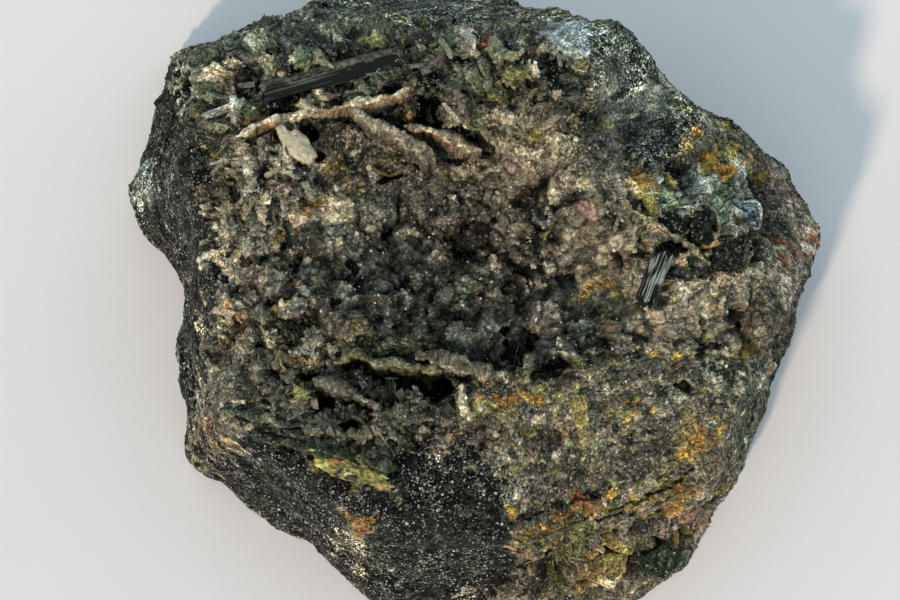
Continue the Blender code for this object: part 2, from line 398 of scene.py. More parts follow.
def roofs(points, size, seed):
    """Interlocking broken crystals: each scattered point carries a roof that falls steeply to both sides of a
    ridge and gently along it, and the highest one shows. Its height and its lead over the next, in cubes, and
    three random numbers."""
    highest, following = np.full((2, len(points)), -9.0)
    found = np.zeros((len(points), 3))
    for offset, cube in neighbours(points, size, seed):
        own = three_of(stirred(*cube, seed * 9 + 2))
        ways = (three_of(stirred(*cube, seed * 9 + n)) - 0.5 for n in (3, 4))
        steep, gentle = (np.abs((offset * way).sum(-1)) / np.linalg.norm(way, axis=-1) for way in ways)
        height = 0.8 * own[:, 0] - 1.5 * steep - 0.6 * gentle - 0.35 * (offset**2).sum(-1)
        higher = height > highest
        following = np.where(higher, highest, np.maximum(following, height))
        found = np.where(higher[:, None], own, found)
        highest = np.maximum(highest, height)
    return highest, highest - following, found


def dome(distance):
    """Height of a ball's upper half, from 1 over its middle to 0 at its edge."""
    return np.sqrt(np.clip(1 - distance * distance, 0, 1))


# Kinds of broken surface as view spots (middle x, y, half sizes, turn): lumps of druse, rounded beads,
# rubble of broken crystals, and fine sugary break. Everywhere else the break is granular.
LUMPY = ((430, 262, 150, 75, 0), (510, 335, 100, 45, 10), (300, 290, 70, 50, 0))
BEADED = ((570, 235, 75, 55, 10), (505, 185, 60, 35, 20), (725, 330, 55, 28, 0), (640, 320, 40, 28, 0),
          (480, 235, 32, 40, 0))
RUBBLE = ((290, 80, 120, 62, -15), (450, 80, 150, 62, 8), (705, 225, 80, 66, 0), (350, 395, 135, 62, 20),
          (605, 555, 95, 34, -20), (262, 190, 62, 70, 0), (240, 330, 30, 40, 0))
FINE_BREAK = ((330, 530, 150, 75, 30), (440, 520, 75, 85, 0), (165, 300, 46, 190, 0), (655, 70, 62, 84, -38),
              (645, 125, 50, 42, 40), (597, 176, 34, 21, 0), (430, -8, 170, 30, 0))


def texture_shares(x, y, shown):
    """Shares of each kind of surface at view points; the fine break overrules the others, and only it goes on
    where the rock turns away from the eye."""
    fine, *rest = (np.max([inside(x, y, spot) for spot in spots], 0)
                   for spots in (FINE_BREAK, LUMPY, BEADED, RUBBLE))
    return (*(share * (1 - fine) * shown for share in rest), fine * shown + 0.55 * (1 - shown))


# Sizes (mm) of the scattered lumps, knobs and beads, and of the roofs of laths, chips and grit.
LUMP, KNOB, BEAD = 4.4, 2.4, 1.2
LATH, CHIP, GRIT = 2.7, 1.15, 0.55


def relief(points, x, y, shown):
    """Height (mm) over the core, the painted shading, and the shares and random numbers that go with it.
    Druse is domes over scattered points, large lumps or small beads; rubble and grain are roofs of three
    sizes;
    pockets lie where a noise is high. Painted shade darkens the creases where one shape meets the next, the
    pockets and the low places, and painted light makes the high places lighter."""
    warp = np.stack([cloud(points, 4.0, seed, 2) for seed in (11, 12, 13)], -1) * 0.45 * MM
    bent, aside = points + warp, warp / (0.04 * MM)
    lumpy, beaded, rubble, fine = texture_shares(x + aside[:, 0], y + aside[:, 1], shown)
    rough = 1 - 0.85 * fine
    lump, lump_next, lump_own = cells(bent, LUMP, 1)
    knob, knob_next, knob_own = cells(bent, KNOB, 6)
    bead, bead_next, bead_own = cells(bent, BEAD, 2)
    lath, lath_lead, lath_own = roofs(points, LATH, 3)
    chip, chip_lead, chip_own = roofs(points, CHIP, 4)
    grit, _, grit_own = roofs(points, GRIT, 5)
    round_share = np.maximum(lumpy, beaded)
    pocket = smooth_step(cloud(bent, 3.2, 31, 3), 0.32, 0.65)
    pocket = pocket * np.clip(0.15 + lumpy + beaded + 0.8 * rubble, 0, 1)
    height = (
        0.6 * cloud(points, 7.0, 5, 2) * rough
        + (2.3 * lumpy + 0.4 * rough) * (dome(lump * 1.05) * (0.5 + lump_own[:, 0]) - 0.6)
        + 1.3 * round_share * (dome(knob * 1.1) * (0.4 + 0.9 * knob_own[:, 0]) - 0.5)
        + (0.6 * beaded + 0.3 * lumpy) * (dome(bead * 1.15) * (0.4 + 0.8 * bead_own[:, 0]) - 0.5)
        + 2.6 * rubble * lath
        + 1.15 * (0.30 - 0.08 * rubble - 0.12 * beaded - 0.2 * lumpy) * rough * chip
        + 0.55 * (0.25 + 0.45 * rough * (1 - 0.6 * round_share) * (1 - 0.55 * rubble)) * grit
        - 1.4 * pocket
    )
    # Painted shade: darker where one bead, knob, lump, lath or chip meets the next, in pockets and in low
    # places; painted light on high places.
    painted_relief_shade = 1.0
    for strength, gap, low, high in (
        (0.45 * round_share, bead_next - bead, 0.04, 0.30), (0.5 * round_share, knob_next - knob, 0.02, 0.25),
        (0.75 * lumpy, lump_next - lump, 0.03, 0.35), (0.7 * rubble, lath_lead, 0.02, 0.18),
        (0.45 * rough, chip_lead, 0.02, 0.20),
    ):
        painted_relief_shade = painted_relief_shade * (1 - strength * (1 - smooth_step(gap, low, high)))
    painted_low_shade = 1 - smooth_step(height, -1.6, 0.5)
    painted_relief_shade = painted_relief_shade * (1 - 0.6 * pocket) * (1.3 - 0.8 * rough * painted_low_shade)
    return height, painted_relief_shade, dict(lumpy=lumpy, beaded=beaded, rubble=rubble, fine=fine, lump=lump_own,
                                knob=knob_own, lath=lath_own, chip=chip_own, grit=grit_own)


# Colours of the minerals, and how much of each there is in the parts of the face.
BLACK, DARK_ROCK, GREEN_ROCK = (0.008, 0.009, 0.008), (0.027, 0.029, 0.023), (0.029, 0.039, 0.024)
GREY_GREEN, GREY_DRUSE, DEEP_DRUSE = (0.118, 0.126, 0.082), (0.078, 0.077, 0.058), (0.050, 0.049, 0.037)
DUN_DRUSE, BROWN_DRUSE, STEEL = (0.100, 0.088, 0.062), (0.145, 0.125, 0.083), (0.12, 0.127, 0.105)
BEIGE, PALE, WHITE_VEIN = (0.30, 0.265, 0.175), (0.42, 0.395, 0.295), (0.44, 0.52, 0.48)
OCHRE, AMBER, RUST = (0.30, 0.200, 0.050), (0.34, 0.170, 0.030), (0.26, 0.085, 0.04)
LIME, OLIVE, PINK_BROWN = (0.29, 0.265, 0.065), (0.14, 0.14, 0.055), (0.24, 0.175, 0.14)
LIGHTEST, TINT_LIMITS = 0.46, (0.004, 0.9)     # of the rock before shading, and of rock and tubes after it
DARK_MIX = ((DARK_ROCK, 5), (BLACK, 5), (GREEN_ROCK, 2), (GREY_DRUSE, 1.2), (GREY_GREEN, 0.2))
GREY_MIX = ((GREY_DRUSE, 7), (DEEP_DRUSE, 5), (DUN_DRUSE, 2.5), (GREY_GREEN, 0.3), (BEIGE, 0.3), (OLIVE, 0.4))
BROWN_MIX = ((BROWN_DRUSE, 5), (BEIGE, 2.4), (GREY_DRUSE, 3), (PALE, 0.7), (PINK_BROWN, 0.4), (OCHRE, 0.6),
             (GREEN_ROCK, 0.8))
BEIGE_MIX = ((BEIGE, 5), (BROWN_DRUSE, 4), (PALE, 0.9), (GREY_DRUSE, 1.5), (PINK_BROWN, 0.15), (OLIVE, 0.9))
GREEN_MIX = ((GREEN_ROCK, 2.2), (GREY_GREEN, 4), (DARK_ROCK, 2.5), (PALE, 0.8), (BEIGE, 1.8), (BLACK, 1.5),
             (STEEL, 1.5), (OLIVE, 0.7))
STONE_MIX = ((GREY_DRUSE, 4), (BROWN_DRUSE, 4.5), (BEIGE, 0.9), (DARK_ROCK, 1.3), (GREY_GREEN, 1.5),
             (OLIVE, 0.8), (PALE, 0.15), (OCHRE, 0.4))
LAYER_MIX = ((BROWN_DRUSE, 4), (OCHRE, 1.5), (OLIVE, 3), (BEIGE, 1), (PINK_BROWN, 1.2), (AMBER, 0.5),
             (DARK_ROCK, 2), (LIME, 0.4))
SIDE_MIX = ((DARK_ROCK, 5), (GREEN_ROCK, 3), (GREY_DRUSE, 2.5), (BLACK, 2), (GREY_GREEN, 1.2),
            (BROWN_DRUSE, 0.5))
RIM_MIX = ((PINK_BROWN, 3), (BROWN_DRUSE, 4), (GREY_DRUSE, 2), (BEIGE, 1.5), (GREEN_ROCK, 0.6), (RUST, 0.25))
KNOB_MIX = ((GREY_GREEN, 3), (STEEL, 6), (PALE, 1.2), (DARK_ROCK, 2), (BEIGE, 1), (GREEN_ROCK, 2))
AMBER_MIX = ((AMBER, 3), (OCHRE, 3), (OLIVE, 3), (BROWN_DRUSE, 2), (DARK_ROCK, 2))
CREST_MIX = ((DARK_ROCK, 3), (GREY_GREEN, 1.5), (GREY_DRUSE, 4), (GREEN_ROCK, 2))
# Parts of the face, each laid over the ones before: mix, lightness, view spot.
REGIONS = (
    ("stone of the right half", STONE_MIX, 1.25, (600, 420, 150, 120, 20)),
    ("brown left wall of the vug", BROWN_MIX, 5.6, (290, 240, 90, 130, 0)),
    ("brown floor above the vug", BROWN_MIX, 0.75, (400, 160, 120, 40, 10)),
    ("grey vug", GREY_MIX, 4.4, (440, 275, 135, 80, 0)),
    ("grey vug right", GREY_MIX, 9.5, (520, 335, 75, 42, 0)),
    ("grey left of the lower plates", GREY_MIX, 1.8, (290, 405, 100, 45, 15)),
    ("green upper left", GREEN_MIX, 3.3, (280, 75, 130, 50, -8)),
    ("green crest", GREEN_MIX, 1.35, (450, 55, 160, 42, 4)),
    ("dark among the lower plates", GREY_MIX, 0.9, (385, 405, 62, 38, 10)),
    ("dark hollow above the vug", GREY_MIX, 1.8, (408, 196, 46, 28, 0)),
    ("beige right of the vug", BEIGE_MIX, 2.3, (565, 225, 90, 72, 12)),
    ("beige above the vug", BEIGE_MIX, 1.15, (500, 150, 70, 42, 15)),
    ("beige edge of the vug", BEIGE_MIX, 0.85, (468, 240, 26, 34, 0)),
    ("beige knob", BEIGE_MIX, 2.9, (690, 305, 95, 52, 0)),
    ("grey-green top of the knob", KNOB_MIX, 7.5, (710, 205, 62, 32, 0)),
    ("blue-grey below the knob", GREEN_MIX, 1.6, (732, 375, 38, 26, 0)),
    ("right rim", RIM_MIX, 1.75, (790, 240, 32, 95, 0)),
    ("grey patch by the saddle", GREY_MIX, 1.5, (597, 176, 33, 20, 0)),
    ("layers at the foot", LAYER_MIX, 0.9, (620, 530, 125, 42, -24)),
    ("amber on the knob", AMBER_MIX, 1.6, (716, 160, 56, 17, 12)),
    ("dark break lower left", DARK_MIX, 0.5, (325, 540, 150, 82, 30)),
    ("dark break at the bottom", DARK_MIX, 0.55, (440, 535, 80, 92, 0)),
    ("dark left side", DARK_MIX, 0.62, (158, 300, 55, 260, 0)),
    ("dark far side", DARK_MIX, 2.8, (430, -10, 190, 34, 0)),
    ("dark saddle", DARK_MIX, 1.4, (645, 128, 40, 42, 40)),
    ("grey top right", CREST_MIX, 2.0, (650, 55, 70, 80, -38)),
)
# Stains, chips and veins, and two painted shadows, each laid over the ones before: colour, strength, view
# spot.
TINTED = (
    ("rust under the flake", OCHRE, 0.9, (318, 200, 14, 14, 0)),
    ("rust under the flake, core", AMBER, 0.8, (314, 206, 8, 7, 0)),
    ("pale by the rust", PALE, 0.6, (304, 188, 9, 7, 0)),
    ("tan edge by the small hole", OCHRE, 0.6, (328, 165, 9, 12, 40)),
    ("ochre spots right of the rust", OCHRE, 0.6, (348, 186, 12, 10, 0)),
    ("ochre at the ridge's left end", AMBER, 0.7, (257, 122, 7, 8, 0)),
    ("pink chip left", (0.42, 0.22, 0.16), 0.8, (232, 137, 6, 7, 0)),
    ("pale strip left", PALE, 0.6, (232, 158, 24, 4, -8)),
    ("dark druse left of the flake", BLACK, 0.7, (260, 162, 13, 8, 0)),
    ("ochre crust left", OCHRE, 0.75, (234, 244, 5, 22, 3)),
    ("tan knob left", BEIGE, 0.7, (258, 238, 12, 12, 0)),
    ("pale knobs left", PALE, 0.35, (270, 190, 13, 9, 30)),
    ("tan lump below left", OCHRE, 0.5, (246, 262, 14, 9, 20)),
    ("round pale lump", PALE, 0.6, (312, 264, 11, 10, 0)),
    ("lime streak left", OLIVE, 0.85, (225, 318, 5, 16, 0)),
    ("ochre streak left", AMBER, 0.9, (239, 318, 5, 24, -12)),
    ("pink by the streak", PINK_BROWN, 0.8, (250, 318, 6, 15, 0)),
    ("tan bar left", OCHRE, 0.75, (230, 346, 15, 4, 0)),
    ("cup left", OLIVE, 0.7, (290, 352, 18, 14, 0)),
    ("cup's brown inside", AMBER, 0.45, (309, 358, 6, 12, 0)),
    ("lime by the ridge", LIME, 0.7, (352, 332, 12, 9, 0)),
    ("lime on the ridge", LIME, 0.6, (372, 350, 20, 5, 12)),
    ("grey slab", GREY_DRUSE, 0.7, (455, 356, 36, 10, 12)),
    ("tan under the slab", BEIGE, 0.7, (438, 370, 32, 5, 8)),
    ("lime lower left", OLIVE, 0.8, (268, 430, 14, 7, 10)),
    ("beige lower left", BEIGE, 0.2, (236, 427, 18, 5, 0)),
    ("red spot left", RUST, 0.85, (212, 421, 7, 9, 0)),
    ("lime patch lower left", LIME, 0.6, (346, 466, 34, 14, 22)),
    ("lime tail", OLIVE, 0.7, (374, 490, 20, 7, 25)),
    ("amber in the patch", AMBER, 0.5, (340, 474, 22, 6, 22)),
    ("tan chips on the break", BEIGE, 0.4, (352, 540, 15, 26, -20)),
    ("ochre chips on the break", AMBER, 0.5, (362, 525, 10, 10, 0)),
    ("ochre lode centre", AMBER, 0.85, (495, 399, 24, 6, 4)),
    ("lime round the lode", LIME, 0.65, (492, 412, 34, 10, 8)),
    ("beige below the lode", BEIGE, 0.6, (480, 420, 28, 9, 15)),
    ("pink below the lode", PINK_BROWN, 0.55, (450, 435, 16, 14, 0)),
    ("olive lens above the vug", LIME, 0.9, (527, 133, 15, 6, 8)),
    ("olive streak above the vug", OLIVE, 0.8, (604, 124, 9, 9, 40)),
    ("olive by the tongue", OLIVE, 0.7, (485, 150, 18, 8, 30)),
    # Painted shadow: black laid in the crevice of the vug.
    ("painted shadow in the crevice of the vug", BLACK, 0.85, (514, 351, 17, 14, 0)),
    ("tan spots in the vug", BEIGE, 0.7, (512, 256, 9, 9, 0)),
    ("pale spot by the prism", PALE, 0.7, (588, 266, 6, 5, 0)),
    ("ochre spot by the prism", OCHRE, 0.85, (594, 286, 12, 15, 20)),
    ("beige curtain left of the crystals", BEIGE, 0.7, (635, 215, 26, 22, 0)),
    ("beige lump", BEIGE, 0.8, (593, 229, 13, 9, 0)),
    ("amber left of the saddle", AMBER, 0.7, (641, 180, 6, 10, 20)),
    ("lime crystals by the saddle", LIME, 0.8, (645, 192, 8, 12, 20)),
    ("lime crystal on the knob", LIME, 0.8, (668, 178, 12, 8, 0)),
    ("lime spot on the knob", LIME, 0.7, (728, 196, 5, 7, 0)),
    ("pale top of the knob", PALE, 0.5, (716, 122, 14, 7, 30)),
    ("dark vein on the knob", (0.035, 0.035, 0.05), 0.95, (687, 278, 19, 10, -10)),
    ("dark hollow of the knob", OLIVE, 0.6, (672, 250, 13, 9, 0)),
    # Painted shade: black laid on the side of the rim below the nodule, which is turned from the lamp.
    ("painted shade on the side below the nodule", BLACK, 0.75, (785, 325, 14, 32, 8)),
    ("red chip on the rim", RUST, 0.8, (790, 260, 7, 9, 0)),
    ("red chip on the rim's edge", RUST, 0.6, (803, 240, 5, 11, 0)),
    ("ochre patch right", OCHRE, 0.6, (692, 436, 22, 20, 20)),
    ("ochre patch right, core", AMBER, 0.5, (696, 440, 13, 12, 20)),
    ("ochre patch right, outer", OCHRE, 0.4, (722, 445, 12, 9, 20)),
    ("ochre dot below the knob", OCHRE, 0.85, (624, 380, 5, 5, 0)),
    ("ochre strip on the layers", AMBER, 0.6, (676, 496, 24, 9, -30)),
    ("ochre strip on the layers, left", AMBER, 0.75, (560, 525, 50, 7, -22)),
    ("olive strip on the layers", OLIVE, 0.7, (585, 522, 60, 7, -22)),
    ("white vein", PALE, 0.5, (542, 477, 34, 3, -10)),
    ("red sparkle", RUST, 0.75, (578, 504, 10, 11, 0)),
    ("pink chip low on the rim", (0.36, 0.2, 0.15), 0.75, (694, 519, 11, 11, 0)),
    ("yellow crystals at the foot", OCHRE, 0.8, (607, 552, 22, 16, 0)),
    ("yellow crystals at the foot, low", OCHRE, 0.8, (588, 574, 18, 9, -20)),
    ("pale chip at the foot", PALE, 0.8, (652, 544, 17, 7, -15)),
    ("dark green foot", GREEN_ROCK, 0.8, (664, 568, 24, 14, -20)),
    ("red chip at the crest", (0.5, 0.15, 0.06), 0.95, (478, 35, 7, 4, 0)),
    ("quartz patch", WHITE_VEIN, 0.8, (572, 36, 22, 15, 20)),
    ("blue quartz", (0.30, 0.40, 0.46), 0.6, (575, 28, 11, 8, 0)),
    ("quartz chip one", PALE, 0.85, (570, 64, 9, 7, 40)),
    ("quartz chip two", PALE, 0.85, (606, 88, 5, 11, -20)),
    ("quartz curls", WHITE_VEIN, 0.6, (570, 52, 18, 5, 20)),
    ("pale chip left", (0.30, 0.34, 0.27), 0.8, (141, 184, 12, 28, 5)),
)


def picked(mix, number):
    """The colour of a mix that a number from 0 to 1 falls on, each colour having its own share."""
    colours, shares = (np.array(column) for column in zip(*mix))
    ends = np.cumsum(shares)
    return colours[np.searchsorted(ends / ends[-1], np.clip(number, 0, 0.9999))]


def rock_colour(points, x, y, painted_relief_shade, t, shown):
    """Colour of the broken rock: each crystal takes one mineral of its part of the face, then of any named
    spot it lies in, lighter or darker than its neighbours, with painted shade in the creases, pockets and
    low places and painted light on the high places; the sides turned away are plain rock. The fourth value
    is how speckled it is."""
    lumpy, beaded, rubble, fine = (t[kind] for kind in ("lumpy", "beaded", "rubble", "fine"))
    near_x, near_y = x + 10 * cloud(points, 1.8, 41, 3), y + 10 * cloud(points, 1.8, 44, 3)
    far_x, far_y = near_x + 9 * cloud(points, 5.0, 53, 2), near_y + 9 * cloud(points, 5.0, 56, 2)
    number = np.where(beaded > 0.4, t["knob"][:, 1], t["chip"][:, 1])
    number = np.where(rubble > 0.5, t["lath"][:, 1], number)
    doubt = 0.15 + 0.7 * t["chip"][:, 2]
    base = np.where((shown > doubt)[:, None], picked(STONE_MIX, number), 1.3 * picked(SIDE_MIX, number))
    for _, mix, lightness, spot in REGIONS:
        own = picked(mix, number) * lightness
        own = own * np.minimum(1, LIGHTEST / own.max(-1, keepdims=True))
        base = np.where((inside(far_x, far_y, spot) * shown > doubt)[:, None], own, base)
    patchy = shown * np.clip(0.7 + 0.6 * t["grit"][:, 2], 0, 1)
    for _, colour, strength, spot in TINTED:
        share = (strength * patchy * inside(near_x, near_y, spot))[:, None]
        base = base * (1 - share) + np.array(colour) * share
    round_share = np.maximum(lumpy, beaded)
    spread = 1.2 * (t["grit"][:, 1] - 0.5) + 1.1 * (t["chip"][:, 2] - 0.5)
    spread = spread * (1 - 0.55 * round_share - 0.45 * rubble) + 1.1 * (t["lump"][:, 1] - 0.5)
    spread = spread + 0.9 * round_share * (t["knob"][:, 2] - 0.5) + 1.2 * rubble * (t["lath"][:, 2] - 0.5)
    # Painted shade in creases, pockets and low places, and painted light on high places.
    colour = np.clip(base * (2**spread * painted_relief_shade)[:, None], *TINT_LIMITS)
    drifts = smooth_step(cloud(points, 5.0, 47, 2), -0.6, 0.6)
    speckled = fine * (0.55 + 0.45 * drifts) + (1 - fine) * (0.55 - 0.2 * beaded - 0.15 * lumpy)
    return np.column_stack((colour, speckled))


def own_tint(place, out="Color"):
    """The colour that the mesh carries at each place, or as Alpha how speckled it is there."""
    return place.node("ShaderNodeAttribute", {"attribute_name": "tint"}, out=out)


def rock_finish(name):
    """Sugary rock: the colour at each place, specked with lighter and darker grains, a few of them whitened
    as painted glints and made glossy.
    """
    material, place, shader = new_material(name, IOR=1.55, Specular_IOR_Level=0.06)
    grain = place.node("ShaderNodeTexVoronoi", {"feature": "F1"}, {"Vector": place, "Scale": 4400.0}, "Color")
    tone, gloss, bright = (place.node("ShaderNodeSeparateColor", None, {0: grain}, out) for out in range(3))
    mottle, speckled = noise(place, 2400.0), own_tint(place, "Alpha")
    # Painted glints: a few grains get a pale colour that stands in for sparkle, and less roughness.
    painted_glint = gloss.between(0.90, 0.95) * speckled
    stops = (tone - 0.65) * speckled * speckled * 9.0 + (mottle - 0.4) * 2.0
    feed(shader, Base_Color=(painted_glint * bright).mix(own_tint(place).scaled(2.0**stops), (0.66, 0.67, 0.62)),
         Roughness=0.68 - painted_glint * 0.5, Normal=(mottle * 0.6 + tone * 0.4).bump(0.7, 0.0003))
    return material


def ball(slope, turn):
    """Places on a ball of radius one, at slopes up from the level and turns about the upright."""
    level = np.cos(slope)
    return np.stack((level * np.cos(turn), level * np.sin(turn), np.sin(slope) + 0 * turn), -1)


def ray_slopes():
    """Slopes of the rays, ring by ring from the top down, spread evenly over a rough outline of the block in
    section: a flat top, a quarter-round rim and an upright side."""
    turn = np.linspace(0, math.pi / 2, BODY_RIM, endpoint=False)
    across, low = TOP_RADIUS + RIM_RADIUS * np.sin(turn), TOP_HEIGHT - RIM_RADIUS
    radius = np.concatenate((TOP_RADIUS * np.linspace(0, 1, BODY_TOP, endpoint=False) ** 0.6, across,
                             np.full(BODY_SIDE, TOP_RADIUS + RIM_RADIUS)))
    height = np.concatenate((np.full(BODY_TOP, TOP_HEIGHT), low + RIM_RADIUS * np.cos(turn),
                             np.linspace(low, FOOT_HEIGHT, BODY_SIDE)))
    return np.arctan2(height, radius)[1:]


def normals_of(surface, towards):
    """Unit normals of a grid of places: the cross product of its two tangents, turned to the side asked."""
    normal = np.cross(np.gradient(surface, axis=0), np.gradient(surface, axis=1))
    normal = normal / np.maximum(np.linalg.norm(normal, axis=-1, keepdims=True), 1e-12)
    return normal * np.sign((normal * towards).sum(-1, keepdims=True))


def blurred(surface, times):
    """A grid of places averaged with its four neighbours, the border held."""
    for _ in range(times):
        inner = surface[1:-1, 1:-1]
        around = surface[:-2, 1:-1] + surface[2:, 1:-1] + surface[1:-1, :-2] + surface[1:-1, 2:]
        surface = surface.copy()
        surface[1:-1, 1:-1] = 0.5 * inner + 0.125 * around
    return surface


# The core seen from the eye, on a regular grid of view points, to place things by.
MAP_STEP, RAY_START = 3.0, 0.3
MAP_X, MAP_Y = np.arange(90, 870, MAP_STEP), np.arange(-130, 720, MAP_STEP)
map_x, map_y = np.meshgrid(MAP_X, MAP_Y)
map_rays = view_ray(map_x, map_y)
lifted = EYE + map_rays * RAY_START
map_faces = grid_faces(len(MAP_Y), len(MAP_X))[:, ::-1]
map_places = draped(lifted.reshape(-1, 3), map_faces, core).reshape(lifted.shape)
map_hit = moved_from(lifted, map_places)
map_facing = (normals_of(blurred(map_places, 2), -map_rays) * -map_rays).sum(-1) * map_hit


def read_map(values, x, y):
    """Bilinear reading of a map at view points."""
    u = np.clip((x - MAP_X[0]) / MAP_STEP, 0, len(MAP_X) - 1.001)
    v = np.clip((y - MAP_Y[0]) / MAP_STEP, 0, len(MAP_Y) - 1.001)
    i, j = np.floor(v).astype(int), np.floor(u).astype(int)
    a, b = v - i, u - j
    if values.ndim == 3:
        a, b = a[..., None], b[..., None]
    return (values[i, j] * (1 - a) * (1 - b) + values[i + 1, j] * a * (1 - b)
            + values[i, j + 1] * (1 - a) * b + values[i + 1, j + 1] * a * b)


# The face is covered by its own finer crust. It reaches, along each bearing from the middle of the
# face, as far as the face still looks towards the eye.
FACE_MIDDLE = (465.0, 300.0)
LEAST_FACING, ALWAYS_FACE = 0.30, 0.72
BEARINGS = np.radians(np.arange(0, 360, 1.0))
reach_steps = np.arange(60, 480, 2.0)
reach_x = FACE_MIDDLE[0] + np.cos(BEARINGS)[:, None] * reach_steps
reach_y = FACE_MIDDLE[1] + np.sin(BEARINGS)[:, None] * reach_steps
seen_well = read_map(map_facing, reach_x, reach_y) > LEAST_FACING
on_block = read_map(map_hit.astype(float), reach_x, reach_y) > 0.999
edge_of_block = reach_steps[np.argmin(on_block, 1)]
well_inside = reach_steps[None] < ALWAYS_FACE * edge_of_block[:, None]
reach = np.minimum(reach_steps[np.argmin(seen_well | well_inside, 1)], edge_of_block - 6)
reach = np.min([np.roll(reach, n) for n in range(-1, 2)], 0)
reach = np.mean([np.roll(reach, n) for n in range(-2, 3)], 0)


def face_share(x, y):
    """0 at the middle of the face, 1 at the edge of its crust, along each bearing."""
    dx, dy = x - FACE_MIDDLE[0], y - FACE_MIDDLE[1]
    bearing = np.degrees(np.arctan2(dy, dx)) % 360
    low = np.floor(bearing).astype(int) % 360
    part = bearing - np.floor(bearing)
    return np.hypot(dx, dy) / (reach[low] * (1 - part) + reach[(low + 1) % 360] * part)


# How far out the rays start. How far behind what is seen the block begins to count as hidden and is wholly
# so, and how near to it the skin sinks under the crust, and how deep. How high the relief fades at the foot.
FAR_OUT, FOOT_FADE = 120.0, 3.0
HIDDEN_FROM, HIDDEN_BY, UNDER_WITHIN, UNDER_SINK = 2.5, 7.0, 3.0, 9.0


def block_body():
    """The whole block as one closed skin: rays from all round find the core, lumps and grain are pushed out
    along the normals, and under the crust of the face the skin sinks out of the way. The foot is cut flat."""
    slope = ray_slopes()[:, None]
    rows, turn = len(slope), np.linspace(0, 2 * math.pi, BODY_AROUND, endpoint=False)
    far = FAR_OUT * MM * ball(slope, turn).reshape(-1, 3)
    quads = grid_faces(rows, BODY_AROUND, around=True)[:, ::-1]
    cap = fan_faces(np.arange(BODY_AROUND), len(far))
    skin = draped(np.concatenate((far, [[0, 0, FAR_OUT * MM]])), quads, core)
    rings = skin[:-1].reshape(rows, BODY_AROUND, 3)
    wide = np.concatenate((rings[:, -3:], rings, rings[:, :3]), 1)
    for _ in range(3):
        wide = blurred(wide, 1)
        wide = np.concatenate((wide[:, -6:-3], wide[:, 3:-3], wide[:, 3:6]), 1)
    normal = normals_of(wide, wide)[:, 3:-3].reshape(-1, 3)
    base = wide[:, 3:-3].reshape(-1, 3)
    x, y = seen_at(base)
    behind = np.linalg.norm(base - read_map(map_places, x, y), axis=-1) / MM
    shown = 1 - smooth_step(behind + cloud(base, 3.0, 61, 2) * 1.5, HIDDEN_FROM, HIDDEN_BY)
    height, painted_relief_shade, textures = relief(base, x, y, shown)
    under = (behind < UNDER_WITHIN) * smooth_step(face_share(x, y), 0.93, 0.84)
    height = height * (0.3 + 0.7 * smooth_step(base[:, 2], 0.0, FOOT_FADE * MM))
    moved = base + normal * (height * MM)[:, None] - BACK * (under * UNDER_SINK * MM)[:, None]
    moved[:, 2] = np.maximum(moved[:, 2], 0.0)
    colour = rock_colour(base, x, y, painted_relief_shade, textures, shown)
    foot = moved[-BODY_AROUND:] * (0.997, 0.997, 0.0)
    top_pole = np.mean(moved[:BODY_AROUND], 0)[None]
    points = np.concatenate((moved, top_pole, foot, [[0, 0, 0]]))
    last = np.arange(BODY_AROUND) + BODY_AROUND * (rows - 1)
    sole = np.arange(BODY_AROUND) + len(moved) + 1
    wall = np.stack((last, sole, np.roll(sole, -1), np.roll(last, -1)), -1)
    tint = np.concatenate((colour, colour[:1], colour[-BODY_AROUND:], colour[-1:]))
    faces = quads, cap, wall, fan_faces(sole[::-1], len(points) - 1)
    mesh = new_mesh("rock_body", points, *faces, smooth=False, colour=tint)
    return new_object("rock_body", mesh), moved, normal, colour, under


body, body_places, body_normals, body_colours, body_under = block_body()
body.data.materials.append(rock_finish("granular_rock"))
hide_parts("matrix")
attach(body, "root")

# ------------------------------------------------------------
# The crust of the face: quartz druse and altered rock that line the vug and cap the ridges round
# it, with holes under the plates painted dark by their depth as painted shade. It has grown on the block and
# ends in its broken rim.
FACE_SIDE = 310
EDGE_DIP, CLOSED_BEHIND = 1.6, 14.0  # how deep the edge of the crust goes into the block, and its back
PUSH_LEAN = 0.35                     # how far the relief leans from the normal towards the eye

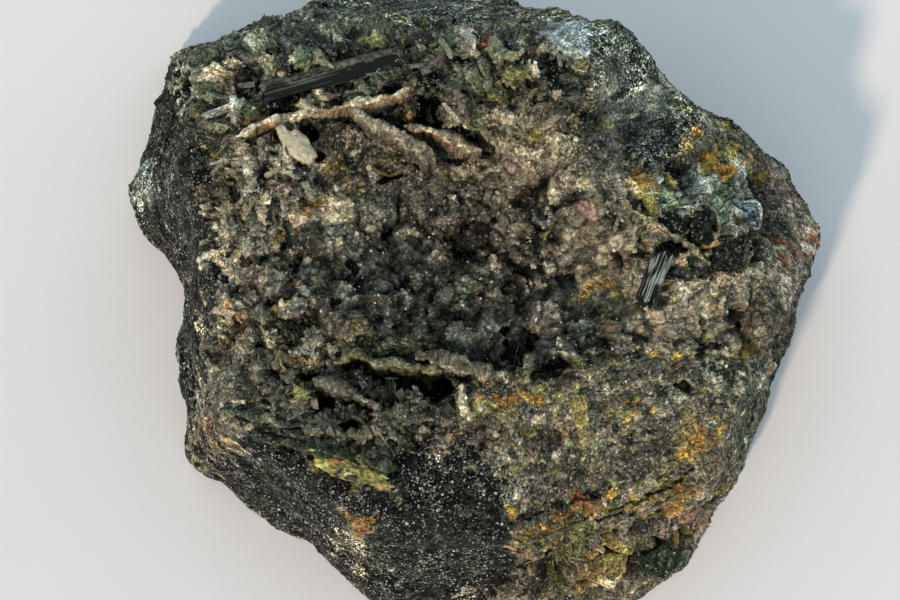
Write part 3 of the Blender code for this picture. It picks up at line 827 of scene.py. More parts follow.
# Holes: middle x, y, half sizes, turn, depth in mm.
HOLES = (
    # Under the ridges at the upper left, and above the tongue.
    (385, 105, 20, 9, -12, 7.0), (432, 103, 14, 8, 0, 6.0), (446, 149, 30, 13, 22, 8.0),
    (343, 114, 8, 5, 0, 4.0), (292, 122, 6, 5, 0, 3.5), (308, 133, 8, 9, 30, 4.0), (320, 157, 7, 6, 0, 3.5),
    (210, 118, 7, 4, 0, 3.0), (338, 80, 66, 12, -15, 0.8),
    # Among the lower plates.
    (396, 366, 15, 7, 0, 7.0), (412, 384, 16, 8, 0, 7.0), (437, 390, 17, 13, 0, 8.0),
    (391, 400, 9, 9, 0, 6.0), (326, 399, 9, 11, 40, 6.0), (347, 425, 10, 8, 0, 6.0),
    (305, 375, 14, 6, 20, 4.5),
    # In the vug and below the knob.
    (520, 350, 30, 7, 14, 1.4), (550, 372, 22, 8, -20, 3.5), (390, 178, 14, 4, -15, 2.5),
    (480, 205, 14, 5, 30, 1.5), (420, 245, 18, 6, 30, 2.0), (320, 262, 9, 8, 0, 1.5),
    (245, 262, 8, 5, 0, 2.0), (296, 300, 10, 5, 0, 1.5), (670, 247, 11, 8, 0, 3.5), (735, 318, 9, 8, 0, 2.5),
    (680, 385, 7, 5, 0, 2.5), (712, 346, 10, 5, 0, 2.5),
    # Round the crystals of the knob and of the foot.
    (732, 253, 22, 19, 0, 1.6), (700, 226, 16, 23, 0, 1.5), (673, 223, 14, 13, 0, 1.5),
    (747, 211, 17, 14, 0, 1.2), (658, 275, 15, 27, 20, 1.5), (609, 563, 17, 17, 0, 1.3),
    (659, 563, 24, 17, 0, 1.3),
    # Cracks down the right rim and along the layers of the foot.
    (770, 280, 4, 34, 8, 2.0), (781, 215, 3, 44, -12, 1.5), (794, 222, 3, 30, -14, 1.2),
    (766, 190, 3, 22, -20, 1.0), (640, 497, 62, 3, -26, 1.3), (600, 541, 48, 3, -24, 1.1),
    (692, 470, 34, 3, -32, 1.3), (560, 505, 40, 3, -18, 0.9), (672, 530, 30, 3, -30, 1.2),
)


def disc_grid(side):
    """A square grid carried onto the unit disc with equal areas: each square ring becomes a round one."""
    a, b = np.meshgrid(np.linspace(-1, 1, side), np.linspace(-1, 1, side))
    wide = np.abs(a) > np.abs(b)
    radius = np.where(wide, a, b)
    with np.errstate(divide="ignore", invalid="ignore"):
        turn = np.where(wide, math.pi / 4 * b / a, math.pi / 2 - math.pi / 4 * a / b)
    turn = np.nan_to_num(turn)
    return radius * np.cos(turn), radius * np.sin(turn)


def face_crust():
    """The part of the block that looks at the eye, on a disc-shaped grid of rays: relief stands up from the
    core, holes are sunk along the line of sight, and the edge dips into the block and is closed behind."""
    u, v = disc_grid(FACE_SIDE)
    turn = np.arctan2(v, u)
    radius = np.hypot(u, v) * np.interp(np.degrees(turn) % 360, np.arange(361), np.append(reach, reach[0]))
    x, y = FACE_MIDDLE[0] + radius * np.cos(turn), FACE_MIDDLE[1] + radius * np.sin(turn)
    start = EYE + view_ray(x, y) * RAY_START
    quads = grid_faces(FACE_SIDE, FACE_SIDE)[:, ::-1]
    base = blurred(draped(start.reshape(-1, 3), quads, core).reshape(start.shape), 2)
    push = unit(normals_of(base, BACK) + PUSH_LEAN * BACK).reshape(-1, 3)
    x, y, flat = x.ravel(), y.ravel(), base.reshape(-1, 3)
    height, painted_relief_shade, textures = relief(flat, x, y, 1.0)
    near_x, near_y = (at + 3 * cloud(flat, 1.3, 51, 2) for at in (x, y))
    sunk = np.zeros(len(flat))
    for *spot, depth in HOLES:
        sunk = np.maximum(sunk, depth * inside(near_x, near_y, spot, 0.12))
    edge = face_share(x, y)
    rim = smooth_step(edge, 0.965, 1.0)
    lift = height + 0.05 * (1 - rim)
    moved = flat + push * (lift * MM)[:, None] - BACK * ((sunk + rim * EDGE_DIP) * MM)[:, None]
    colour = rock_colour(flat, x, y, painted_relief_shade, textures, 1.0)
    # Painted shade: the deeper a hole, the darker its colour, near black at the bottom of the deep ones.
    colour[:, :3] *= np.clip(1.45 - 0.33 * sunk, 0.04, 1)[:, None]
    order = np.arange(FACE_SIDE**2).reshape(FACE_SIDE, FACE_SIDE)
    border = np.concatenate((order[0, :-1], order[:-1, -1], order[-1, :0:-1], order[:0:-1, 0]))
    points = np.concatenate((moved, [moved[border].mean(0) - BACK * CLOSED_BEHIND * MM]))
    faces = quads, fan_faces(border, len(moved))
    tint = np.concatenate((colour, colour[:1]))
    mesh = new_mesh("face_crust", points, *faces, smooth=False, colour=tint)
    normal = normals_of(blurred(moved.reshape(base.shape), 2), BACK).reshape(-1, 3)
    return new_object("face_crust", mesh), moved, normal, colour, (x, edge, sunk), textures


crust, crust_places, crust_normals, crust_colours, crust_view, crust_kinds = face_crust()
crust_x, crust_edge, crust_sunk = crust_view
crust.data.materials.append(rock_finish("druse_crust"))
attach(crust, "root")

# What the strips are laid on: the crust seen from the eye, and the core where no ray meets the crust.
bpy.data.objects.remove(core)
front_places = draped(lifted.reshape(-1, 3), map_faces, crust).reshape(lifted.shape)
front_places = np.where(moved_from(lifted, front_places)[..., None], front_places, map_places)

# ------------------------------------------------------------
# Druse: thousands of small quartz crystals, each a short six-sided column with a point, that stand
# on the crust of the vug and on its ridges, grey and clear or stained by the rock under them.
DRUSE_COUNT, DRUSE_SIZE, DRUSE_LEAN = 12500, (0.10, 0.42), 0.6


def six_sided_point():
    """A ring of six corners between a long point above and a blunt one below."""
    turn, ring = np.arange(6) * math.pi / 3, np.arange(6)
    around = np.column_stack((np.cos(turn), np.sin(turn), np.full(6, 0.25)))
    corners = np.concatenate((around, [[0, 0, 1.25], [0, 0, -0.9]]))
    return corners, np.concatenate((fan_faces(ring, 6), fan_faces(ring[::-1], 7)))


def grown(name, shape, places, normals, sizes, stretch, lean, colours, rng):
    """One mesh of many small crystals: each is the shape at its own size (mm) and length, its axis the
    surface's normal leaned at random, turned about itself at random, every corner a little off its place."""
    corners, faces = shape
    axis = unit(normals + lean * rng.normal(size=normals.shape))
    side = unit(np.cross(axis, rng.normal(size=normals.shape)))
    frames = np.stack((side, np.cross(axis, side), axis), -1)
    local = corners[None] * np.stack((sizes, sizes, sizes * stretch), -1)[:, None] * MM
    local = local * (1 + 0.14 * rng.normal(size=(*local.shape[:2], 1)))
    points = places[:, None] + np.einsum("nij,nkj->nki", frames, local)
    points[..., 2] = np.maximum(points[..., 2], 0.0)
    numbers = (faces[None] + (np.arange(len(places)) * len(corners))[:, None, None]).reshape(-1, 3)
    tint = np.repeat(colours, len(corners), 0)
    return new_object(name, new_mesh(name, points.reshape(-1, 3), numbers, smooth=False, colour=tint))


def chosen(weights, count, rng):
    """Numbers of places picked at random, without repeats, in proportion to their weights."""
    return rng.choice(len(weights), count, replace=False, p=weights / weights.sum())


def sizes_between(span, count, power, rng):
    """Random sizes from the least of a span to the greatest, the small ones far commoner."""
    return span[0] + (span[1] - span[0]) * rng.random(count) ** power


def crystal_finish(name, roughness, ior):
    """Glassy faces in the colour of each crystal, clouded and cracked inside."""
    material, place, shader = new_material(name, IOR=ior, Specular_IOR_Level=0.2)
    cloudy = noise(place, 2200.0)
    feed(shader, Base_Color=own_tint(place).scaled(cloudy * 0.8 + 0.6),
         Roughness=cloudy * roughness + roughness * 0.4, Normal=cloudy.bump(0.25, 0.00015))
    return material


rng = np.random.default_rng(7)
weight = (0.35 + crust_kinds["lumpy"] - 0.15 * crust_kinds["rubble"]) * (1 - 0.8 * crust_kinds["fine"])
taken = chosen(weight * (crust_edge < 0.97) * np.exp(-crust_sunk), DRUSE_COUNT, rng)
sizes = sizes_between(DRUSE_SIZE, DRUSE_COUNT, 3, rng)
clear = rng.random(DRUSE_COUNT) < 0.07
sizes = sizes * np.where(clear, 0.6, 1)
stained = np.clip(crust_colours[taken, :3] * rng.uniform(0.6, 1.6, (DRUSE_COUNT, 1)) + 0.006, 0, 0.8)
glassy = rng.uniform(0.35, 0.85, (DRUSE_COUNT, 1)) * np.array((1.0, 0.98, 0.92))
druse = grown("quartz_druse", six_sided_point(), crust_places[taken], crust_normals[taken], sizes,
              rng.uniform(0.8, 1.5, DRUSE_COUNT), DRUSE_LEAN, np.where(clear[:, None], glassy, stained), rng)
druse.data.materials.append(crystal_finish("druse_quartz", 0.28, 1.54))
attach(druse, "root")

# ------------------------------------------------------------
# Dark grains: the cleavage faces of hedenbergite and magnetite that glitter on the broken sides,
# each held in the rock by the half of it that can't be seen.
FACE_GRAINS, SIDE_GRAINS, GRAIN_SIZE, GRAIN_LEAN = 9500, 8500, (0.05, 0.15), 0.8


def grain():
    """An eight-sided grain: six corners pushed out unevenly."""
    corners = np.array([(1, 0, 0.1), (0.1, 1, -0.1), (-0.9, 0.1, 0.15), (-0.1, -1, 0), (0.1, 0.1, 0.9),
                        (0, -0.1, -0.9)])
    ring = np.arange(4)
    return corners, np.concatenate((fan_faces(ring, 4), fan_faces(ring[::-1], 5)))


taken = chosen((0.15 + 1.3 * crust_kinds["fine"]) * (crust_edge < 0.985), FACE_GRAINS, rng)
side_taken = chosen((body_under < 0.02).astype(float), SIDE_GRAINS, rng)
places = np.concatenate((crust_places[taken], body_places[side_taken]))
normals = np.concatenate((crust_normals[taken], body_normals[side_taken]))
beneath = np.concatenate((crust_colours[taken], body_colours[side_taken]))[:, :3]
count = len(places)
# A quarter of the grains are pale: white quartz, whose pale colour also stands in for painted glints of
# sparkle.
quartz_and_glint = rng.random(count) < 0.25
quartz_and_glint_colours = rng.uniform(0.03, 0.5, (count, 1)) * np.array((0.97, 1.0, 0.95))
grain_colours = np.where(quartz_and_glint[:, None], quartz_and_glint_colours, beneath * rng.uniform(0.25, 1.6, (count, 1)))
sizes = sizes_between(GRAIN_SIZE, count, 2.5, rng)
grains = grown("sparkling_grains", grain(), places, normals, sizes, rng.uniform(0.6, 1.3, count), GRAIN_LEAN,
               grain_colours, rng)
grains.data.materials.append(crystal_finish("dark_grains", 0.22, 1.7))
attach(grains, "root")

# ------------------------------------------------------------
# Broken laths: small slabs and prisms of hedenbergite and quartz in the rubble round the vug, lying
# every way, stuck fast where they broke.
LATH_COUNT, LATH_SIZE, LATH_LEAN = 2300, (0.12, 0.48), 1.6
RUBBLE_ENDS = 600                    # view x beyond which no laths lie
LATH_MIX = ((GREEN_ROCK, 2), (GREY_GREEN, 4), (BLACK, 1.5), (BEIGE, 2), (STEEL, 1.5), (PALE, 1), (OLIVE, 1))


def lath():
    """A flat four-sided bar, broken aslant at one end."""
    corners = np.array([(1, 0.5, -1), (-1, 0.5, -1), (-1, -0.5, -1), (1, -0.5, -1),
                        (0.9, 0.4, 1), (-0.8, 0.5, 0.7), (-0.9, -0.4, 0.8), (0.8, -0.5, 1.1)])
    ring = np.arange(4)
    sides = np.stack((ring, (ring + 1) % 4, (ring + 1) % 4 + 4, ring + 4), -1)
    ends = [(0, 3, 2), (0, 2, 1), (4, 5, 6), (4, 6, 7)]
    return corners, np.concatenate((sides[:, :3], sides[:, (0, 2, 3)], ends))


weight = (crust_kinds["rubble"] ** 2 + 0.002) * (crust_edge < 0.96) * (crust_x < RUBBLE_ENDS)
taken = chosen(weight * np.exp(-crust_sunk), LATH_COUNT, rng)
sizes = sizes_between(LATH_SIZE, LATH_COUNT, 2, rng)
kinds = picked(LATH_MIX, rng.random(LATH_COUNT))
lath_colours = 0.7 * crust_colours[taken, :3] + 0.4 * kinds * rng.uniform(0.4, 1.3, (LATH_COUNT, 1))
laths = grown("broken_laths", lath(), crust_places[taken], crust_normals[taken], sizes,
              rng.uniform(1.4, 3.8, LATH_COUNT), LATH_LEAN, lath_colours, rng)
laths.data.materials.append(rock_finish("lath_faces"))
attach(laths, "root")

# ------------------------------------------------------------
# Septa and veins: thin walls of beige and pale crust between the crystals of the knob, blades and
# fibres on edge, the rim of the cup, white veins and the layers of the foot, grown fast to the crust.
# Colour, width and height (mm), route in view points.
STRIPS = (
    # Between and round the crystals of the knob.
    (BEIGE, 0.7, 0.9, ((661, 226), (676, 238), (690, 247), (704, 259), (717, 270))),
    (BEIGE, 0.5, 0.9, ((754, 248), (746, 262), (735, 277), (722, 274))),
    (PALE, 0.4, 0.9, ((684, 208), (692, 220), (686, 233), (674, 238))),
    (PALE, 0.4, 0.9, ((690, 207), (705, 204), (716, 214), (718, 232), (709, 250))),
    (PALE, 0.45, 0.9, ((708, 240), (722, 234), (738, 237), (754, 248))),
    (PALE, 0.4, 0.9, ((716, 214), (724, 208), (728, 200))),
    (GREY_GREEN, 0.35, 0.4, ((668, 196), (684, 199), (700, 194), (722, 199))),
    (BEIGE, 0.6, 0.8, ((652, 200), (660, 212), (662, 228))),
    (BEIGE, 0.7, 1.0, ((640, 203), (637, 218), (634, 238), (637, 252))),
    (BEIGE, 0.6, 0.8, ((622, 205), (618, 222), (611, 238))),
    (BEIGE, 0.6, 0.8, ((638, 258), (631, 278), (628, 300))),
    (BEIGE, 0.7, 0.8, ((702, 288), (693, 304), (697, 322))),
    (BEIGE, 0.6, 0.8, ((728, 290), (721, 306), (729, 324))),
    (BEIGE, 0.6, 0.7, ((757, 280), (752, 300), (757, 322))),
    (PALE, 0.35, 0.4, ((740, 268), (727, 290), (733, 300))),
    # A pale vein below the vug, fibres at the upper left, and blades on edge above the vug.
    (PALE, 0.3, 0.3, ((583, 392), (589, 408), (585, 428))),
    (GREY_GREEN, 0.32, 0.5, ((205, 168), (224, 147), (243, 126), (263, 110))),
    (GREY_GREEN, 0.28, 0.5, ((212, 166), (232, 145), (251, 122))),
    (GREEN_ROCK, 0.4, 0.5, ((202, 160), (220, 140), (238, 121))),
    (PALE, 0.5, 0.4, ((208, 165), (226, 160), (250, 157), (262, 150))),
    (OLIVE, 0.5, 1.1, ((371, 163), (378, 171), (391, 175), (402, 169), (404, 160))),
    (OLIVE, 0.45, 0.8, ((366, 156), (384, 160), (402, 156))),
    # The cup at the left, and the thin frame above the flake.
    ((0.36, 0.30, 0.12), 0.42, 1.0,
     ((284, 348), (281, 362), (288, 373), (300, 371), (309, 375), (316, 364), (317, 350))),
    (OLIVE, 0.4, 0.7, ((302, 352), (303, 363), (309, 374))),
    (STEEL, 0.4, 0.6, ((302, 67), (312, 54), (321, 44))),
    (STEEL, 0.4, 0.6, ((321, 44), (330, 52), (338, 60))),
    (GREY_GREEN, 0.3, 0.4, ((302, 67), (320, 66), (338, 60))),
    # Walls of the upper middle.
    ((0.13, 0.11, 0.09), 1.3, 1.1, ((438, 50), (447, 74), (459, 100), (472, 126))),
    (GREY_GREEN, 0.4, 0.6, ((456, 58), (467, 88), (482, 118))),
    (BEIGE, 0.7, 0.8, ((470, 118), (484, 126), (494, 140), (500, 156))),
    (BEIGE, 0.6, 0.8, ((478, 92), (488, 82), (503, 80), (515, 90), (512, 103))),
    (BEIGE, 0.5, 0.7, ((440, 126), (428, 118), (430, 108))),
    # The left edge, and the walls among the lower plates.
    (GREEN_ROCK, 0.5, 0.5, ((220, 405), (241, 411), (263, 419), (286, 428))),
    (BEIGE, 0.8, 0.7, ((218, 425), (238, 428), (258, 424))),
    (BROWN_DRUSE, 0.6, 1.0, ((379, 370), (387, 383), (383, 396), (388, 408))),
    (BROWN_DRUSE, 0.5, 1.0, ((399, 373), (412, 376), (430, 373))),
    (GREY_DRUSE, 0.5, 1.0, ((397, 391), (411, 397), (424, 393), (430, 380))),
    (GREY_DRUSE, 0.6, 0.8, ((313, 370), (330, 378), (346, 392), (352, 410), (362, 422))),
    (GREY_GREEN, 0.5, 0.7, ((372, 407), (386, 422), (394, 440))),
    (GREY_GREEN, 0.4, 0.6, ((391, 448), (396, 462), (392, 478))),
    # Layers of the foot, and curls of quartz at the top.
    (BROWN_DRUSE, 0.4, 0.4, ((505, 552), (546, 536), (590, 520), (632, 506))),
    (OLIVE, 0.5, 0.4, ((520, 566), (562, 548), (612, 528), (662, 505), (702, 480))),
    (PINK_BROWN, 0.4, 0.4, ((598, 532), (642, 513), (690, 491), (728, 462))),
    (WHITE_VEIN, 0.3, 0.3, ((556, 44), (565, 52), (577, 50), (586, 58), (592, 68))),
    (PALE, 0.5, 0.5, ((599, 74), (605, 86), (613, 98))),
    (PALE, 0.3, 0.3, ((566, 57), (574, 68), (586, 72))),
)
STRIP_ALONG, STRIP_AROUND = 44, 10


def smooth_route(route, count):
    """Points along a route through the given ones: a Catmull-Rom curve, at equal steps of its parameter."""
    knots = np.concatenate(([2 * route[0] - route[1]], route, [2 * route[-1] - route[-2]]))
    at = np.linspace(0, len(route) - 1.0001, count)
    i = np.floor(at).astype(int)
    t = (at - i)[:, None]
    a, b, c, d = knots[i], knots[i + 1], knots[i + 2], knots[i + 3]
    return 0.5 * (2 * b + (c - a) * t + (2 * a - 5 * b + 4 * c - d) * t**2 + (3 * b - a - 3 * c + d) * t**3)


def strip(route, width, height, seed):
    """Rings of a crusty strip laid along view points on the crust: an oval section half sunk in it, as high
    as the strip is proud of the crust, that thins to both ends and is frayed by noise."""
    x, y = smooth_route(np.array(route, float), STRIP_ALONG).T
    middle = read_map(front_places, x, y)
    padded = np.concatenate((middle[:1], middle[:1], middle, middle[-1:], middle[-1:]))
    middle = sum(padded[n:n + STRIP_ALONG] for n in range(5)) / 5
    middle = middle + (cloud(middle, 2.0, seed, 2) * 0.18 * MM)[:, None] * BACK
    across = unit(np.cross(np.gradient(middle, axis=0), BACK))[:, None]
    turn = np.linspace(0, 2 * math.pi, STRIP_AROUND, endpoint=False)
    ends = np.clip(np.sin(math.pi * np.linspace(0, 1, STRIP_ALONG)) * 2.5, 0.15, 1)
    thick = (ends * (1 + 0.45 * cloud(middle, 0.9, seed + 1, 2)))[:, None, None]
    middle = middle[:, None]
    section = across * (np.cos(turn) * width / 2)[:, None] + BACK * (np.sin(turn) * height)[:, None]
    rings = middle + thick * MM * section
    fray = cloud(rings.reshape(-1, 3), 0.45, seed + 2, 2).reshape(STRIP_ALONG, STRIP_AROUND, 1)
    return rings + fray * (rings - middle) * 0.5


def tubes_mesh(name, tubes, smooth=True):
    """One mesh of tubes, each a stack of rings closed at both ends on a middle point, with a colour at each
    of its places."""
    points, faces, colours, start = [], [], [], 0
    for rings, tint in tubes:
        count, around = rings.shape[:2]
        tint = tint.reshape(count * around, -1)
        first, middle = np.arange(around) + start, start + count * around
        last = first + around * (count - 1)
        points += [rings.reshape(-1, 3), rings[:1].mean(1), rings[-1:].mean(1)]
        faces += [grid_faces(count, around, around=True) + start, fan_faces(first[::-1], middle),
                  fan_faces(last, middle + 1)]
        colours += [tint, tint[:1], tint[-around:][:1]]
        start = middle + 2
    colour = np.clip(np.concatenate(colours), *TINT_LIMITS)
    return new_mesh(name, np.concatenate(points), *faces, smooth=smooth, colour=colour)


tubes = []
for seed, (colour, width, height, route) in enumerate(STRIPS, 300):
    rings = strip(route, width, height, seed)
    shade = 2.0 ** (0.9 * cloud(rings.reshape(-1, 3), 0.8, seed, 3))
    tubes.append((rings, np.array(colour) * shade[:, None]))
septa = new_object("septa_and_veins", tubes_mesh("septa_and_veins", tubes))
septa.data.materials.append(rock_finish("septa"))
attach(septa, "root")

# ------------------------------------------------------------
# Striated prisms: black-green hedenbergite columns with fine grooves along them, broken across at
# the ends. The long one lies in the far rim of the vug and the stub in the knob, fast to the rock.
# Ends (mm), width and height across, how many flat sides, how strongly pale fibres stripe it, whether
# its far side is coated with grey druse, and the seed of its noise.
COLUMNS = {
    "long_striated_prism": ((-26.5, 15.0, 46.1), (-8.8, 19.95, 46.35), 3.1, 2.8, 6, 0.25, 1, 3),
    "stub_striated_prism": ((25.3, -4.3, 37.5), (22.9, -10.6, 37.3), 4.1, 3.4, 4, 1.0, 0, 4),
}
COLUMN_AROUND, COLUMN_ALONG, COLUMN_CAP = 150, 70, 9
BLACK_GREEN, FIBRE_GREEN, FIBRE_WHITE = (0.006, 0.008, 0.006), (0.04, 0.055, 0.042), (0.37, 0.40, 0.34)


def along_axis(start, end):
    """Middle, half length and three axes of a line in mm: across level, across upright, and along."""
    start, end = np.array(start) * MM, np.array(end) * MM
    ahead = unit(end - start)
    level = unit(np.cross((0, 0, 1.0), ahead)) if abs(ahead[2]) < 0.9 else RIGHT
    return (start + end) / 2, np.linalg.norm(end - start) / 2, (level, np.cross(ahead, level), ahead)


def laid_along(middle, axes, *distances):
    """Places at three distances along the axes of a line."""
    return middle + sum(distance[..., None] * axis for distance, axis in zip(distances, axes))


def flat_sided(sides, uneven, count, seed):
    """A ring of points on a polygon with unequal corners: straight runs between corners at jittered angles
    and radii."""
    jitter = np.random.default_rng(seed).uniform(-1, 1, (2, sides))
    angle = (np.arange(sides) + 0.5 + 0.35 * uneven * jitter[0]) * 2 * math.pi / sides
    corner = (1 + 0.5 * uneven * jitter[1]) * np.exp(1j * angle)
    at = np.linspace(0, sides, count, endpoint=False)
    run = np.interp(at, np.arange(sides + 1), np.append(corner, corner[0]))
    return run / np.abs(run).max()


def capped(cap, along):
    """How far along a column each of its rings lies, from 0 to 1, and how wide it is: the rings of a cap open
    from the middle of the break to its edge."""
    share = np.concatenate((np.zeros(len(cap)), np.linspace(0, 1, along), np.ones(len(cap))))
    return share[:, None], np.concatenate((cap, np.ones(along), cap[::-1]))[:, None]


def blended(without, full, share):
    """One colour where a share is 0 and the other where it is 1."""
    return np.asarray(without) * (1 - share) + np.asarray(full) * share


def column(name, start, end, width, height, sides, fibres, coated, seed):
    """A grooved column: a polygon whose sides are cut by grooves, noise stretched along the axis; both ends
    are flat stepped breaks. Pale fibres follow the grooves."""
    middle, half_length, axes = along_axis(start, end)
    ring = flat_sided(sides, 0.25, COLUMN_AROUND, seed)[None]
    share, closing = capped(np.linspace(0.06, 0.94, COLUMN_CAP), COLUMN_ALONG)
    section = np.stack(np.broadcast_arrays(ring.real * width / 2, ring.imag * height / 2, share * 0), -1) * MM
    stretched = (section + share[..., None] * np.array((0, 0, 1.3)) * MM).reshape(-1, 3)

    def grooves(places, size, step):
        return cloud(places.reshape(-1, 3), size, seed * 10 + step, 2).reshape(len(share), -1)

    broad = grooves(stretched, 0.9, 5)
    radius = closing * (1 + 0.06 * np.round(broad * 3) / 3 + 0.07 * grooves(stretched, 0.30, 0))
    jag = np.round(grooves(section * closing[..., None], 0.7, 8) * 3) / 3
    ended = np.abs(2 * share - 1) ** 12 * np.sign(share - 0.5)
    along = (2 * share - 1) * half_length + ended * 0.45 * jag * MM
    rings = laid_along(middle, axes, section[..., 0] * radius, section[..., 1] * radius, along)
    thread, strand = grooves(stretched * (1, 1, 0.16), 0.09, 3), grooves(stretched * (1, 1, 2.5), 0.9, 4)
    fibre = smooth_step(thread + 0.5 * strand, 0.5 - 0.5 * fibres, 1.2 - 0.5 * fibres) * (closing > 0.97)
    tint = blended(BLACK_GREEN, FIBRE_GREEN, smooth_step(strand, 0.3, 0.9)[..., None] * fibres)
    tint = blended(tint, FIBRE_WHITE, (fibres * fibre)[..., None])
    crumbs = grooves(rings, 0.35, 6)
    coat = coated * smooth_step(section[..., 0] / MM + 0.35 * broad + 0.3 * crumbs, 0.1, 0.5)[..., None]
    tint = blended(tint, np.array(GREY_DRUSE) * 2.0 ** (1.3 * crumbs)[..., None], coat)
    return new_object(name + "_grown", tubes_mesh(name, [(rings, tint)], smooth=False))


column_finish = crystal_finish("striated_hedenbergite", 0.36, 1.45)
for node, row in COLUMNS.items():
    prism = column(node, *row)
    prism.data.materials.append(column_finish)
    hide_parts(node)
    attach(prism, "root")

# ------------------------------------------------------------
# Stout crystals in the knob, at the foot and in the face: four- to six-sided, broken across, with
# stepped cleavage on the break, sunk in the rock by half their length. Ends (mm), width and height,
# sides, colours from end to end, colour of their edges, slot and seed.
KNOB_BLACK, BLUE_STEEL, BOTTLE_GREEN = (0.008, 0.010, 0.008), (0.06, 0.08, 0.095), (0.024, 0.038, 0.022)
GLASS_GREEN, YELLOW, DULL_YELLOW = (0.05, 0.07, 0.04), (0.30, 0.24, 0.065), (0.19, 0.155, 0.05)
STOUT = {
    "large_dark_crystal": (
        (34.75, -2.8, 33.3), (34.1, -2.9, 26.4), 6.4, 6.2, 4,
        (KNOB_BLACK, BLACK), GREY_DRUSE, "black_green_crystal", 5),
    "middle_dark_crystal": (
        (30.45, 0.75, 35.2), (29.9, 0.5, 29.4), 4.6, 6.4, 4,
        (KNOB_BLACK, BOTTLE_GREEN), GREEN_ROCK, "black_green_crystal", 6),
    "small_dark_crystal": (
        (26.6, 0.3, 37.1), (26.5, 0.2, 32.0), 4.0, 4.0, 5,
        (BLACK, BOTTLE_GREEN), GREEN_ROCK, "black_green_crystal", 7),
    "blue_grey_crystal": (
        (36.9, 4.25, 30.2), (36.7, 3.9, 24.4), 5.0, 4.4, 4,
        (BLUE_STEEL, (0.03, 0.045, 0.055)), (0.28, 0.36, 0.40), "blue_grey_crystal", 8),
    "knob_green_lath": (
        (22.35, 6.1, 39.5), (24.35, 1.2, 37.8), 1.7, 2.2, 5,
        ((0.24, 0.15, 0.04), (0.20, 0.19, 0.06), OLIVE), LIME, "yellow_green_crystal", 9),
    "inset_green_lath": (
        (-10.4, -17.2, 42.2), (-6.0, -17.8, 42.1), 2.2, 2.7, 4,
        (BOTTLE_GREEN, KNOB_BLACK), OLIVE, "black_green_crystal", 10),
    "right_yellow_lath": (
        (13.8, -23.3, 38.9), (14.7, -29.3, 35.6), 2.6, 2.6, 5,
        (GREEN_ROCK, YELLOW, (0.20, 0.17, 0.08), (0.19, 0.17, 0.10)), BROWN_DRUSE,
        "yellow_green_crystal", 11),
    "white_lath": (
        (-34.3, 12.0, 45.25), (-28.9, 14.1, 45.55), 1.3, 2.0, 5,
        ((0.26, 0.30, 0.25), PALE, (0.22, 0.27, 0.22)), (0.45, 0.47, 0.42), "white_quartz", 12),
    "front_yellow_crystal": (
        (18.55, -41.8, 21.4), (18.1, -38.1, 15.5), 4.6, 5.0, 6,
        (DULL_YELLOW, OLIVE), OLIVE, "yellow_green_crystal", 13),
    "front_green_crystal": (
        (25.55, -40.6, 16.0), (24.7, -37.3, 10.0), 6.6, 5.0, 5,
        (BOTTLE_GREEN, KNOB_BLACK), GLASS_GREEN, "black_green_crystal", 14),
}
STOUT_AROUND, STOUT_ALONG, STOUT_CAP, STOUT_SPECKLED = 60, 20, 16, 0.5


def stout_crystal(name, start, end, width, height, sides, colours, edge_colour, seed):
    """An uneven many-sided column. Its break and its sides are stepped by roofs of two sizes, its girth
    swells and shrinks, and its colour passes through the given ones from start to end, light along the edges
    of the steps."""
    middle, half_length, axes = along_axis(start, end)
    ring = flat_sided(sides, 0.5, STOUT_AROUND, seed)[None]
    share, closing = capped(np.linspace(0.03, 1, STOUT_CAP, endpoint=False), STOUT_ALONG)
    length = 0 * closing * ring.real + share * half_length * 2 / MM
    flat = np.stack((closing * ring.real * width / 2, closing * ring.imag * height / 2, length), -1) * MM
    spots = flat.reshape(-1, 3) + seed * MM
    shape = closing.shape[0], -1
    big, big_lead, big_own = roofs(spots * (1, 1, 0.5), 1.9, seed)
    small, small_lead, small_own = roofs(spots, 0.6, seed + 1)
    step = (0.24 * big + 0.18 * small).reshape(shape) - 0.1 * closing**8
    swell = 0.05 * cloud(spots * (0.6, 0.6, 1), 1.2, seed, 3).reshape(shape)
    girth = 1 + swell + 0.06 * (small + 0.5 * big).reshape(shape) * (closing > 0.9)
    reach_along = (2 * share - 1) * half_length + step * (closing < 0.999) * np.sign(share - 0.5) * MM
    rings = laid_along(middle, axes, flat[..., 0] * girth, flat[..., 1] * girth, reach_along)
    drift = 0.22 * cloud(spots, 1.2, seed + 2, 2).reshape(shape)
    along, stops = np.clip(share + drift, 0, 1).ravel() * (len(colours) - 1), np.arange(len(colours))
    tint = np.stack([np.interp(along, stops, channel) for channel in np.array(colours).T], -1)
    tint = tint * (2.0 ** (1.0 * cloud(spots, 0.5, seed + 6, 2)))[:, None]
    edge = 0.4 * (1 - smooth_step(np.minimum(big_lead, small_lead * 0.5), 0.01, 0.06))
    edge = np.maximum(edge, 0.6 * (small_own[:, 1] > 0.88))[:, None]
    tint = blended(tint, edge_colour, edge) * (0.6 + 0.5 * big_own[:, 1] + 0.4 * small_own[:, 2])[:, None]
    tint = np.column_stack((tint, np.full(len(tint), STOUT_SPECKLED)))
    return new_object(name + "_grown", tubes_mesh(name, [(rings, tint)], smooth=False))


stout_finish = rock_finish("stepped_crystal")
for node, (*shape, finish_slot, seed) in STOUT.items():
    crystal = stout_crystal(node, *shape, seed)
    crystal.data.materials.append(stout_finish)
    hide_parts(node)
    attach(crystal, "root")

